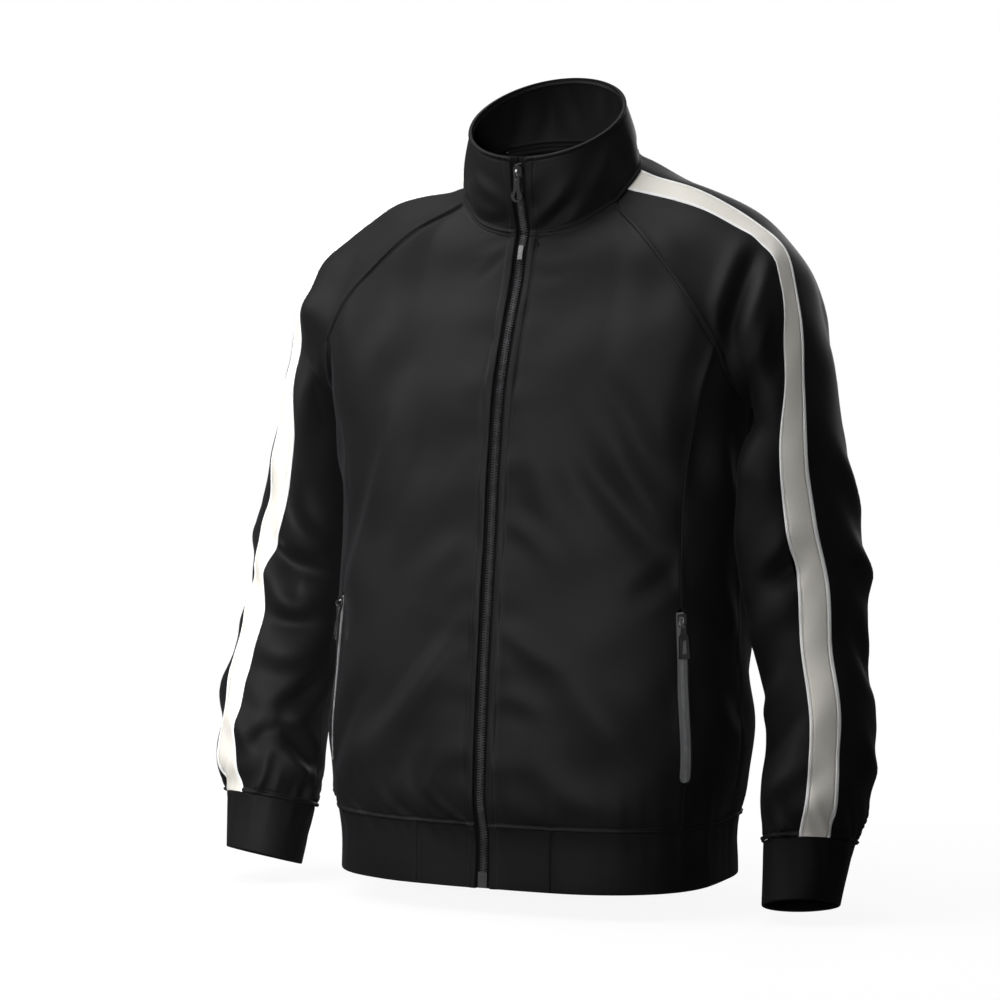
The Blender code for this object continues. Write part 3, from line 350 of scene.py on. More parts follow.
# Metals and plastic: name, dark and light colour, roughness and, where it isn't all metal, how much is
METALS = {
    "teeth": ("dark nickel teeth", (0.035, 0.035, 0.037), (0.065, 0.065, 0.068), 0.36, 0.6),
    "grey": ("grey coil", (0.20, 0.20, 0.205), (0.28, 0.28, 0.285), 0.45, 0.0),
    "metal": ("brushed gunmetal", (0.20, 0.20, 0.205), (0.30, 0.30, 0.305), 0.24),
    "bright_metal": ("bright nickel", (0.40, 0.40, 0.40), (0.52, 0.52, 0.51), 0.24),
}
SHEEN_ROUGHNESS = 0.45

# The size that each piece of cloth is cut to, before it is sewn
Cut = namedtuple("Cut", "width length area")

# Zips: each tooth, coil and stitch is a block, given by its size across, outward and up
ZIP_STEP = 0.002
TOOTH = (0.0044, 0.0022, 0.00115)
TOOTH_PITCH = 0.0024
TOOTH_MIDDLE = 0.0013  # across, from the middle of the zip
TOOTH_DEPTH = 0.0017
TAPE_EDGES = (0.0003, 0.0165)
TAPE_DEPTH = 0.0030
TAPE_THICK = 0.0008
BOX_TOP = 0.0155
COIL = (0.0021, 0.0010, 0.00095)
COIL_PITCH = 0.0013
COIL_MIDDLE = 0.00095
COIL_TILT = 14.0
STITCH = (0.00055, 0.00035, 0.0021)
STITCH_PITCH = 0.0029
STRIP_DEPTH = 0.0010  # of the pocket's strip, below the cloth
STRIP_LAP = 0.0016  # how much wider the strip is than the opening
COIL_DEPTH = 0.0004
TEETH_END = 0.006  # below the rim
BLOCK_CHAMFER = 0.0003
STITCH_START = 0.003  # from a seam's end
METAL_ROUND = 0.00022

# How a panel's edge is sewn: a rounded ridge beside the seam, then the groove of its topstitching
Edge = namedtuple("Edge", "ridge ridge_lift groove groove_depth")
PLAIN = Edge(0.0, 0.0, 0.0, 0.0)
FELLED = Edge(0.0036, 0.0019, 0.0044, 0.0009)
FOLDED = Edge(0.0070, 0.0014, 0.0078, 0.0009)
RIM = Edge(0.0034, 0.0013, 0.0048, 0.0006)
SEWN = {"first": PLAIN, "last": PLAIN}  # the edges of a panel with a seam on both sides

# Slow unevenness of worn cloth: radians per metre along each axis, then phase and height
Wave = namedtuple("Wave", "across along up phase size")
UNEVEN = (
    Wave(41, 23, 37, 0.4, 0.00075),
    Wave(-29, 47, 61, 2.1, 0.00065),
    Wave(73, -31, 19, 4.4, 0.00050),
    Wave(17, 59, -83, 1.2, 0.00050),
    Wave(-97, 37, 53, 3.3, 0.00030),
)
# Gathers along a seam: radians per metre, phase and share of the height
GATHER_WAVES = ((310, 0.3, 1.0), (193, 1.9, 0.8), (457, 4.0, 0.45), (97, 2.6, 0.7))


def spline(at, knots, values):
    """A smooth curve through values, which may be points, read at places along the knots."""
    at, knots, values = (np.asarray(data, float) for data in (at, knots, values))
    lengths = np.diff(knots)
    wide = (slice(None),) + (None,) * (values.ndim - 1)
    chords = np.diff(values, axis=0) / lengths[wide]
    before, after = lengths[:-1][wide], lengths[1:][wide]
    inner = (chords[:-1] * after + chords[1:] * before) / (before + after)
    slopes = np.concatenate([chords[:1], inner, chords[-1:]])
    span = np.clip(np.searchsorted(knots, at, side="right") - 1, 0, len(lengths) - 1)
    wide = (Ellipsis,) + (None,) * (values.ndim - 1)
    length = lengths[span][wide]
    share = ((at - knots[span]) / lengths[span])[wide]
    start, end = values[span], values[span + 1]
    curve = start + share**2 * (3 - 2 * share) * (end - start)
    curve = curve + share * (1 - share) ** 2 * length * slopes[span]
    return curve - share**2 * (1 - share) * length * slopes[span + 1]


def lengths_along(points):
    """How far each point is along the line of them."""
    return np.concatenate([[0], np.cumsum(np.linalg.norm(np.diff(points, axis=0), axis=1))])


def read_along(at, knots, points):
    """Points read at places between the knots, in straight lines."""
    return np.stack([np.interp(at, knots, points[:, axis]) for axis in range(3)], axis=1)


def curve_through(points, shares):
    """Points at shares of the length of a smooth curve through the given ones."""
    points = np.array(points, float)
    knots = lengths_along(points)
    fine = spline(np.linspace(0, knots[-1], 800), knots, points)
    lengths = lengths_along(fine)
    return read_along(np.asarray(shares, float) * lengths[-1], lengths, fine)


def curve_length(points):
    return lengths_along(curve_through(points, np.linspace(0, 1, 200)))[-1]


def unit(vectors):
    return vectors / np.linalg.norm(vectors, axis=-1, keepdims=True)


def mirrored(skin):
    """The same skin on the wearer's right, still facing out."""
    return skin[:, ::-1] * (-1, 1, 1)


def hung(skin, places):
    """The left sleeve with the cloth over the front of its elbow hanging in and forward."""
    share = np.interp(skin[..., 2], HANG_HEIGHTS, (0, 1, 1, 0))
    share = share**2 * (3 - 2 * share) * np.sin(np.pi * np.minimum(places / STRIPE_EDGES[0], 1) ** 0.6)
    return skin + share[..., None] * LEFT_HANG


def drawn_up(skin):
    """The lower right arm, raised a little more towards its end."""
    share = np.clip(1 - skin[..., 2] / RISE_STARTS, 0, None)
    return skin + (share**2 * RIGHT_ARM_RISE)[..., None] * (0, 0, 1)


def eased(values, low, high):
    """0 below low, 1 above high and smooth between them."""
    share = np.clip((values - low) / (high - low), 0, 1)
    return share**2 * (3 - 2 * share)


def graded(start, end, length, step, seams):
    """Places from start to end of a span this long, closer together beside its seams."""
    near = np.array(NEAR_SEAM)
    first, last = near[-1] if seams[0] else 0.0, near[-1] if seams[1] else 0.0
    count = max(2, round((length - first - last) / step))
    along = np.linspace(first, length - last, count + 1)
    if seams[0]:
        along = np.concatenate([near[:-1], along])
    if seams[1]:
        along = np.concatenate([along, length - near[-2::-1]])
    return start + along / length * (end - start)


def joined(*parts):
    """Runs of places as one, without the repeats where they meet."""
    return np.concatenate([parts[0]] + [part[1:] for part in parts[1:]])


# Body


def torso_sizes(height):
    heights = [section.height for section in TORSO]
    return [spline(height, heights, [section[i] for section in TORSO]) for i in range(1, 6)]


def torso_point(turn, height):
    """The body's skin at a turn from the front, in radians, and a height."""
    half_width, front, back, widest, squareness = torso_sizes(height)
    sine, cosine = np.sin(turn), np.cos(turn)
    reach = (np.abs(sine) ** squareness + np.abs(cosine) ** squareness) ** (-1 / squareness)
    depth = np.where(cosine > 0, widest - front, back - widest)
    return np.stack([half_width * reach * sine, widest - depth * reach * cosine, height], axis=-1)


def torso_turn(points):
    half_width, front, back, widest, _ = torso_sizes(points[..., 2])
    offset = widest - points[..., 1]
    depth = np.where(offset > 0, widest - front, back - widest)
    return np.arctan2(points[..., 0] / half_width, offset / depth)


def top_edge(places):
    """Points of the body's top edge on the wearer's left, at places along its columns."""
    edge = np.zeros((len(places), 3))
    start = 0
    for points, steps in BODY_SPANS:
        inside = (places >= start) & (places <= start + steps)
        shares = (places[inside] - start) / steps
        if start == 0:
            first = ZIP_OPENING / 2 / curve_length(points)
            shares = first + shares * (1 - first)
        edge[inside] = curve_through(points, shares)
        start += steps
    return edge


def hem_turns(places):
    zip_turn = math.degrees(ZIP_OPENING / 2 / TORSO[1].half_width)
    stops = (zip_turn, CORNER_TURN, POCKET_TURN, SIDE_TURN, BACK_CORNER_TURN, 180.0)
    return np.radians(np.interp(places, (0, CORNER, POCKET, SIDE, BACK_CORNER, MIDDLE), stops))


def zip_columns(turns, places, heights):
    """Turns whose columns beside the zip keep their distance from it."""
    wanted = ZIP_OPENING / 2 / torso_sizes(heights[:, 0])[0]
    return turns + np.clip(1 - places, 0, 1) * (wanted - turns[:, 0])[:, None]


def body_skin(places, rows):
    """The left half of the body, from the hem seam up to its top edge."""
    edge, starts = top_edge(places), hem_turns(places)
    rows = rows[:, None]
    turns = starts + rows * (torso_turn(edge) - starts)
    heights = HEM_SEAM + rows * (edge[:, 2] - HEM_SEAM)
    skin = torso_point(zip_columns(turns, places, heights), heights)
    bend = eased(rows, TOP_ROWS, 1.0)
    return skin + bend[..., None] * (edge - skin[-1])


def hem_skin(places, rows):
    heights = (rows * HEM_SEAM)[:, None] + 0 * places
    turns = hem_turns(places) + 0 * heights
    return torso_point(zip_columns(turns, places, heights), heights)


# Sleeve


def ring_frames():
    """Each section's middle, its half axis to the outer point and its half axis to the front."""
    outer = np.array([(s.outer, s.middle, s.outer_height) for s in SLEEVE])
    inner = np.array([(s.inner, s.middle, s.inner_height) for s in SLEEVE])
    middles = (outer + inner) / 2
    runs = np.gradient(middles[:, 1:], axis=0)
    fronts = np.stack([0 * runs[:, 0], runs[:, 1], -runs[:, 0]], axis=1)
    return middles, (outer - inner) / 2, unit(fronts) * [[s.half_depth] for s in SLEEVE]


def ring_turns(section, to_outer, to_front, places):
    """The turns of a section's columns, from the underarm round the front, stripe and back."""
    middle = math.radians(section.stripe)
    radius = np.linalg.norm(to_outer * math.sin(middle) - to_front * math.cos(middle))
    half, inside = STRIPE_WIDTH / 2 / radius, (STRIPE_WIDTH / 2 - PIPING_WIDTH) / radius
    stops = (math.pi, middle + half, middle + inside, middle - inside, middle - half, -math.pi)
    turns = np.interp(places, (0, *STRIPE_EDGES, ARM_END), stops)
    front = places < STRIPE_EDGES[0]
    shares = (places[front] / STRIPE_EDGES[0]) ** section.crowding
    turns[front] = math.pi + (stops[1] - math.pi) * shares
    return turns


def sleeve_edge(places):
    """The sleeve's top edge: the armhole, the neck between its raglan corners, and the back."""
    edge = top_edge(np.where(places <= ARM_CORNER, SIDE - places, SIDE + ARM_END - places).clip(0))
    length = curve_length(NECK_SIDE)
    start, end = SHOULDER_STRIPE
    inside = (start + PIPING_WIDTH, end - PIPING_WIDTH)
    stations = (0, start, inside[0], sum(inside) / 2, inside[1], end, (end + length) / 2, length)
    neck = (places > ARM_CORNER) & (places < ARM_BACK_CORNER)
    along = np.interp(places[neck], range(ARM_CORNER, ARM_BACK_CORNER + 1), stations)
    edge[neck] = curve_through(NECK_SIDE, along / length)
    return edge


def sleeve_skin(places, rows, side):
    """A sleeve in the left one's place, at rows counted down its loops, with its lowest row first."""
    loops = [sleeve_edge(places)]
    sections = SLEEVE
    if side == "right":
        sections = [section._replace(stripe=turn) for section, turn in zip(SLEEVE, RIGHT_STRIPES)]
    for section, middle, to_outer, to_front in zip(sections, *ring_frames()):
        turns = ring_turns(section, to_outer, to_front, places)[:, None]
        ring = middle + to_outer * np.cos(turns) + to_front * np.sin(turns)
        ring[:, 0] += section.bulge * np.sin(turns[:, 0]) ** 2
        loops.append(ring)
    skin = spline(rows, np.arange(len(loops)), np.array(loops))[::-1]
    return skin if side == "right" else hung(skin, places)


def sleeve_place(turns, loops):
    """Places on the left sleeve, by their turns in degrees and their loops."""
    middles, to_outer, to_front = (
        spline(loops, np.arange(1, len(SLEEVE) + 1), frame) for frame in ring_frames()
    )
    turns = np.radians(turns)[:, None]
    return middles + to_outer * np.cos(turns) + to_front * np.sin(turns)


# Collar


def rim_point(turn):
    across = RIM_HALF_WIDTH * np.sin(turn)
    along = RIM_MIDDLE - RIM_HALF_DEPTH * np.cos(turn)
    front = RIM_MIDDLE - RIM_HALF_DEPTH
    return np.stack([across, along, RIM_FRONT_HEIGHT + RIM_RISE * (along - front)], axis=-1)


def collar_between(base, rim, rows):
    """Rows of points from the collar's base to its rim, bowed out between them."""
    out = unit((base + rim) * (1, 1, 0) - (0, 2 * RIM_MIDDLE, 0))
    shares = np.array(rows)[:, None, None]
    return base + shares * (rim - base) + COLLAR_BULGE * np.sin(np.pi * shares) * out


def collar_skin(front, side, back, rows):
    """The left half of the collar, over the front, the sleeve's neck edge and the back."""
    base = np.concatenate([top_edge(front), sleeve_edge(side)[1:-1], top_edge(back)])
    turns = np.arctan2(base[:, 0], BASE_MIDDLE - base[:, 1])
    turns[0] = math.asin(ZIP_OPENING / 2 / RIM_HALF_WIDTH)
    return collar_between(base, rim_point(turns), rows)


def whole(half):
    """A left half and its mirror image as one skin, round from the zip and back to it."""
    return np.concatenate([half, mirrored(half)[:, 1:]], axis=1)


# Folds and seams


def skin_normals(skin):
    """The direction in which each point of a skin faces."""
    along = np.gradient(skin, axis=1)
    up = np.gradient(skin, axis=0)
    return unit(np.cross(along, up))


def fold_lift(points, normals, path, fold):
    """How much one fold raises each point."""
    reach = FOLD_REACH * fold.width * (1 + abs(fold.lean))
    inside = np.all((points > path.min(axis=0) - reach) & (points < path.max(axis=0) + reach), axis=-1)
    near, faces = points[inside], normals[inside]
    nearest = np.full(len(near), np.inf)
    along, side = np.zeros(len(near)), np.zeros(len(near))
    for step, (start, end) in enumerate(zip(path, path[1:])):
        line = end - start
        share = np.clip((near - start) @ line / (line @ line), 0, 1)
        away = near - start - share[:, None] * line
        distance = np.linalg.norm(away, axis=1)
        closer = distance < nearest
        nearest = np.where(closer, distance, nearest)
        along = np.where(closer, (step + share) / (len(path) - 1), along)
        left = np.sign((away * np.cross(faces, line)).sum(axis=1))
        side = np.where(closer, left, side)
    width = fold.width * (1 + fold.lean * side)
    crest = np.exp(-((nearest / width) ** 2))
    flanks = FLANK_LIFT * np.exp(-(((nearest - FLANK_PLACE * width) / (FLANK_WIDTH * width)) ** 2))
    lift = np.zeros(points.shape[:-1])
    lift[inside] = fold.lift * (crest - flanks) * np.sin(np.pi * along.clip(*FOLD_ENDS)) ** FOLD_FADE
    return lift


def fold_path(fold, place):
    """Points of a fold's line, from the places that it passes."""
    spots = np.array(fold.path, float)
    knots = np.arange(len(spots))
    fine = spline(np.linspace(0, knots[-1], 4 * len(spots)), knots, spots)
    return place(fine[:, 0], fine[:, 1])


def body_place(turns, heights):
    """Places on the body, by their turns in degrees and their heights in millimetres."""
    return torso_point(np.radians(turns), heights / 1000)


def unevenness(points):
    total = np.zeros(points.shape[:-1])
    for wave in UNEVEN:
        total += wave.size * np.sin(points @ np.array(wave[:3]) + wave.phase)
    return total


def gathered(skin, side, depth, size):
    """Small folds that run away from the seam on this side of a skin."""
    along, away = run_lengths(skin, 1), distance_from(skin, side)
    ripple = sum(share * np.sin(count * along + phase) for count, phase, share in GATHER_WAVES)
    ripple = np.where(ripple > 0, ripple, 0.6 * ripple)
    return size * ripple * (away / depth + 0.15) * np.exp(1 - away / depth)


def run_lengths(skin, axis):
    """How far each point is along its row (axis 1) or up its column (axis 0)."""
    steps = np.linalg.norm(np.diff(skin, axis=axis), axis=-1)
    start = np.zeros_like(np.take(steps, [0], axis=axis))
    return np.concatenate([start, np.cumsum(steps, axis=axis)], axis=axis)


def edge_shape(distance, edge):
    """How much an edge's sewing raises the cloth at this distance from it."""
    lift = np.zeros_like(distance)
    if edge.ridge:
        round_top = np.clip(1 - (2 * distance / edge.ridge - 1) ** 4, 0, 1)
        lift += edge.ridge_lift * np.sqrt(round_top)
    if edge.groove:
        lift -= edge.groove_depth * np.exp(-(((distance - edge.groove) / GROOVE_WIDTH) ** 2))
    return lift


def distance_from(skin, side):
    """How far each point is from one side of a skin, measured square to that side."""
    if side in ("first", "last"):
        turned = {"first": "bottom", "last": "top"}[side]
        return distance_from(skin.transpose(1, 0, 2), turned).T
    if side == "top":
        return distance_from(skin[::-1], "bottom")[::-1]
    edge, run = unit(np.gradient(skin[0], axis=0)), unit(skin[3] - skin[0])
    return run_lengths(skin, 0) * np.linalg.norm(np.cross(edge, run), axis=1)


# Pieces


def new_mesh(name, points, faces):
    mesh = bpy.data.meshes.new(name)
    mesh.from_pydata(points, [], faces)
    return mesh


def grid_mesh(name, outside, inside, closed):
    """A mesh between two skins with the same grid, closed at its edges, with its cut as a UV map."""
    rows, columns = outside.shape[:2]
    last = columns - 1
    across, up = run_lengths(outside, 1), run_lengths(outside, 0)
    if closed:
        outside, inside, columns = outside[:, :-1], inside[:, :-1], columns - 1
    index = np.arange(rows * columns).reshape(rows, columns)
    index = np.concatenate([index, index[:, :1]], axis=1) if closed else index
    inner = rows * columns
    quads = np.stack([index[:-1, :-1], index[:-1, 1:], index[1:, 1:], index[1:, :-1]], axis=-1)
    quads = quads.reshape(-1, 4)
    faces = [quads, inner + quads[:, ::-1]]
    rims = [(index[0, 1:], index[0, :-1]), (index[-1, :-1], index[-1, 1:])]
    if not closed:
        rims += [(index[:-1, 0], index[1:, 0]), (index[1:, -1], index[:-1, -1])]
    faces += [np.stack([a, b, inner + b, inner + a], axis=1) for a, b in rims]
    faces = np.concatenate(faces)
    points = np.concatenate([outside.reshape(-1, 3), inside.reshape(-1, 3)]) - NECK_HOLD
    mesh = new_mesh(name, points.tolist(), faces.tolist())
    cut = np.stack([across[:, : last + 1], up[:, : last + 1]], axis=-1)
    if closed:
        cut = cut[:, :-1]
    cut = np.concatenate([cut.reshape(-1, 2)] * 2)
    layer = mesh.uv_layers.new(name="cut")
    layer.data.foreach_set("uv", cut[faces.reshape(-1)].astype(np.float32).ravel())
    mesh.shade_smooth()
    return mesh


def linked(name, data):
    """A new object in the scene."""
    made = bpy.data.objects.new(name, data)
    bpy.context.scene.collection.objects.link(made)
    return made


def add_piece(name, mesh, look, body, nodes=()):
    made = linked(name, mesh)
    mesh.materials.append(look)
    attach(made, body)
    if nodes:
        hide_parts(*nodes)
    return made


def add_shell(name, skin, lifts, thick, edges, looks, slot, nodes, closed=False):
    """A thin shell of cloth whose edges are pressed round, and sewn as their Edge says."""
    normals = skin_normals(skin)
    if closed:
        ends = unit(normals[:, 0] + normals[:, -1])
        normals[:, 0] = normals[:, -1] = ends
    half = thick / 2
    room = np.ones(skin.shape[:2])
    for side, edge in edges.items():
        distance = distance_from(skin, side)
        room *= np.sqrt(1 - (1 - np.clip(distance / half, 0, 1)) ** 2)
        lifts = lifts + edge_shape(distance, edge)
    reach = half * np.clip(room, 0.12, 1)[..., None]
    middle = skin + (lifts - half)[..., None] * normals
    outside = middle + reach * normals
    sewn = [
        line_beside(outside, normals, distance_from(skin, side), side, edge.groove)
        for side, edge in edges.items()
        if edge.groove
    ]
    if sewn:
        add_stitches(name.replace("cloth", "stitches"), sewn, looks)
    mesh = grid_mesh(name, outside, middle - reach * normals, closed)
    made = add_piece(name, mesh, looks[slot], JACKET, nodes)


def line_beside(points, normals, distance, side, away):
    """The line on a piece this far from one of its sides, with the directions it faces."""
    if side in ("first", "last"):
        points, normals, distance = points.transpose(1, 0, 2), normals.transpose(1, 0, 2), distance.T
    if side in ("top", "last"):
        points, normals, distance = points[::-1], normals[::-1], distance[::-1]
    row = np.argmax(distance >= away, axis=0).clip(1)
    column = np.arange(distance.shape[1])
    before, after = distance[row - 1, column], distance[row, column]
    share = ((away - before) / (after - before))[:, None]
    line = points[row - 1, column] * (1 - share) + points[row, column] * share
    return line, normals[row, column]


def add_stitches(name, lines, looks):
    """Stitches along lines, as short ridges of thread."""
    places, frames = [], []
    for line, out in lines:
        length = lengths_along(line)[-1]
        spots, directions = frames_at(line, out, np.arange(STITCH_START, length - STITCH_START, STITCH_PITCH))
        places.append(spots)
        frames.append(directions)
    mesh = copies(name, block(STITCH, 0), np.concatenate(places), np.concatenate(frames))
    add_piece(name, mesh, looks["thread"], JACKET)


def held(skin, sides, reach=0.009, least=0.12):
    """1 over most of a skin, down to least at the sides that a seam holds."""
    kept = np.ones(skin.shape[:2])
    for side in sides:
        kept *= least + (1 - least) * eased(distance_from(skin, side), 0, reach)
    return kept


def folds_on(skin, folds, place):
    normals = skin_normals(skin)
    lifts = np.zeros(skin.shape[:2])
    for fold in folds:
        lifts += fold_lift(skin, normals, fold_path(fold, place), fold)
    return lifts


def opened(skin, side):
    """A panel whose edge stands back from the pocket's zip."""
    rows = skin[:, 0 if side == "first" else -1, 2] - HEM_SEAM
    rows = rows / rows[-1]
    low, high = POCKET_SHARES
    opening, closing = (eased(rows, end - GAPE_ENDS, end + GAPE_ENDS) for end in (low, high))
    distance = distance_from(skin, side)
    across = np.gradient(skin, axis=1)
    inward = unit(across) * (1 if side == "first" else -1)
    gape = opening * (1 - closing)
    shift = POCKET_OPENING / 2 * gape[:, None] * np.exp(-distance / GAPE_REACH)
    return skin + shift[..., None] * inward


def zip_puckers(skin):
    """Small puckers across the front edges, which the zip draws in unevenly."""
    across, heights = np.abs(skin[..., 0]), skin[..., 2]
    side = np.sign(skin[..., 0])
    ripple = np.sin(112 * heights + 1.1 * side) + 0.6 * np.sin(203 * heights + 2.0 + side)
    ripple += 0.5 * np.sin(67 * heights - 0.7 * side)
    start, full = PUCKER_STARTS
    fade = np.exp(-((across - full).clip(0) / PUCKER_REACH)) * eased(across, start, full)
    return PUCKER_LIFT * ripple * fade


# Looks


def shader_of(made):
    return made.node_tree.nodes["Principled BSDF"]


def node_of(made, kind, inputs=(), **settings):
    """A shader node with these settings, its inputs given as values or as other nodes' outputs."""
    node = made.node_tree.nodes.new(kind)
    for key, value in settings.items():
        setattr(node, key, value)
    for key, value in dict(inputs).items():
        if isinstance(value, bpy.types.NodeSocket):
            made.node_tree.links.new(value, node.inputs[key])
        else:
            node.inputs[key].default_value = value
    return node


def new_material(name, roughness, metallic=0.0, specular=0.5, sheen=0.0, sheen_tint=(1, 1, 1)):
    made = bpy.data.materials.new(name)
    made.use_nodes = True
    values = {"Roughness": roughness, "Metallic": metallic, "Specular IOR Level": specular}
    sheens = {"Sheen Weight": sheen, "Sheen Roughness": SHEEN_ROUGHNESS, "Sheen Tint": (*sheen_tint, 1)}
    set_inputs(shader_of(made), values | sheens)
    return made


def set_inputs(node, values):
    """Constant values, by the names of the inputs they are set on."""
    for name, value in values.items():
        node.inputs[name].default_value = value


def link(made, output, name):
    made.node_tree.links.new(output, shader_of(made).inputs[name])


def bumped(made, node, strength, height):
    """Raises the surface by a node's first output."""
    inputs = {"Height": node.outputs[0], "Strength": strength, "Distance": height}
    link(made, node_of(made, "ShaderNodeBump", inputs).outputs["Normal"], "Normal")


def mottled(made, dark, light, scale, detail=3.0):
    """Gives it a colour that drifts slowly between two."""
    place = node_of(made, "ShaderNodeTexCoord").outputs["Object"]
    noise = node_of(made, "ShaderNodeTexNoise", {"Vector": place, "Scale": scale, "Detail": detail})
    ramp = node_of(made, "ShaderNodeValToRGB", {"Fac": noise.outputs["Fac"]})
    ramp.color_ramp.elements[0].position, ramp.color_ramp.elements[1].position = 0.35, 0.65
    ramp.color_ramp.elements[0].color, ramp.color_ramp.elements[1].color = (*dark, 1), (*light, 1)
    link(made, ramp.outputs["Color"], "Base Color")


def knitted(made, wales, courses, height, grain):
    """The bump of a fine knit: wales up the cloth, courses across it, and loose grain."""
    cut = node_of(made, "ShaderNodeUVMap", uv_map="cut").outputs["UV"]
    bands = []
    for direction, pitch in (("X", wales), ("Y", courses)):
        inputs = {"Vector": cut, "Scale": 2 * math.pi / 20 / pitch, "Distortion": 0.3, "Detail": 1.0}
        wave = node_of(made, "ShaderNodeTexWave", inputs, bands_direction=direction)
        bands.append(wave.outputs["Fac"])
    knit = node_of(made, "ShaderNodeMath", {0: bands[0], 1: bands[1]}, operation="MULTIPLY")
    place = node_of(made, "ShaderNodeTexCoord").outputs["Object"]
    noise = node_of(made, "ShaderNodeTexNoise", {"Vector": place, "Scale": grain, "Detail": 2.0})
    both = node_of(made, "ShaderNodeMath", {0: knit.outputs[0], 1: noise.outputs["Fac"]}, operation="ADD")
    bumped(made, both, 0.5, height)


def cloth_look(name, dark, light, roughness, specular, sheen, wales, courses, height):
    made = new_material(name, roughness, specular=specular, sheen=sheen, sheen_tint=(0.9, 0.92, 1.0))
    mottled(made, dark, light, 14.0)
    knitted(made, wales, courses, height, 700.0)
    return made


def metal_look(name, dark, light, roughness, metallic=1.0, brushed=0.00003):
    made = new_material(name, roughness, metallic=metallic)
    mottled(made, dark, light, 90.0)
    place = node_of(made, "ShaderNodeTexCoord").outputs["Object"]
    stretch = node_of(made, "ShaderNodeMapping", {"Vector": place, "Scale": (1200.0, 1200.0, 90.0)})
    noise = node_of(made, "ShaderNodeTexNoise", {"Vector": stretch.outputs[0], "Scale": 1.0, "Detail": 2.0})
    bumped(made, noise, 0.4, brushed)
    return made


def make_looks():
    """Every look, by name: the knits, then the zips' plastic and metal."""
    looks = {name: cloth_look(*values) for name, values in KNITS.items()}
    looks |= {name: metal_look(*values) for name, values in METALS.items()}
    return looks


# Cloth pieces


def body_places():
    """Places along the body's columns, finer beside its seams."""
    return joined(*(graded(start, end, length, CLOTH_STEP, seams) for start, end, length, seams in BODY_RUNS))


def sleeve_places():
    """Places round the sleeve, finer beside its seams and across the piping."""
    start, piped, unpiped, end = STRIPE_EDGES
    plain, sewn, piping = (False, False), (True, True), (PIPING_WIDTH, PIPING_WIDTH / 6)
    return joined(
        graded(0, start, FRONT_SLEEVE_WIDTH, CLOTH_STEP, sewn),
        graded(start, piped, *piping, plain),
        graded(piped, unpiped, STRIPE_WIDTH - 2 * PIPING_WIDTH, STRIPE_STEP, plain),
        graded(unpiped, end, *piping, plain),
        graded(end, ARM_END, BACK_SLEEVE_WIDTH, CLOTH_STEP, sewn),
    )


def column_at(places, place):
    return int(np.argmin(np.abs(places - place)))


def panels_of(skin, lifts, panels, stops):
    """Each panel with its columns of a skin and of its lifts, from one stop to the next."""
    for panel, first, last in zip(panels, stops, stops[1:]):
        yield *panel, skin[:, first : last + 1], lifts[:, first : last + 1]


def add_body(looks):
    """The fronts, sides and back."""
    places = body_places()
    rows = graded(0, 1, BODY_RISE, CLOTH_STEP, (True, True))
    skin = whole(body_skin(places, rows))
    lifts = folds_on(skin, BODY_FOLDS, body_place) + unevenness(skin)
    lifts *= held(skin, ("top", "bottom"), 0.016)
    lifts += folds_on(skin, YOKE_FOLDS, body_place) + zip_puckers(skin)
    lifts += gathered(skin, "bottom", *BODY_GATHERS)
    end = skin.shape[1] - 1
    pocket, side = column_at(places, POCKET), column_at(places, SIDE)
    stops = (0, pocket, side, end - side, end - pocket, end)
    panels = (
        ("front_left", "front", {"first": FOLDED, "last": PLAIN}),
        ("side_left", "side", SEWN),
        ("back", "back", SEWN),
        ("side_right", "side", SEWN),
        ("front_right", "front", {"first": PLAIN, "last": FOLDED}),
    )
    for name, kind, edges, part, part_lifts in panels_of(skin, lifts, panels, stops):
        if kind != "back":
            part = opened(part, "last" if name in ("front_left", "side_right") else "first")
        part_lifts = part_lifts * held(part, edges, 0.008, 0.25)
        edges = {"bottom": FELLED, "top": FELLED, **edges}
        add_shell(f"cloth_{name}", part, part_lifts, CLOTH_THICK, edges, looks, "cloth", [name])
    add_pocket_zip("left", skin, pocket, rows, looks)
    add_pocket_zip("right", skin, end - pocket, rows, looks)


def add_hem(looks):
    """The hem band and its two front tabs."""
    places = body_places()
    rows = graded(0, 1, HEM_SEAM, BAND_STEP, (True, True))
    skin = whole(hem_skin(places, rows))
    corner, end = column_at(places, CORNER), skin.shape[1] - 1
    lifts = 0.5 * unevenness(skin) + gathered(skin, "top", *HEM_GATHERS)
    panels = (
        ("hem_tab_left", "hem_tab", {"first": FOLDED, "last": PLAIN}),
        ("hem_band", "hem_band", SEWN),
        ("hem_tab_right", "hem_tab", {"first": PLAIN, "last": FOLDED}),
    )
    stops = (0, corner, end - corner, end)
    for name, kind, edges, part, part_lifts in panels_of(skin, lifts, panels, stops):
        edges = {"bottom": PLAIN, "top": PLAIN, **edges}
        add_shell(f"cloth_{name}", part, part_lifts, BAND_THICK, edges, looks, "rib", [name])


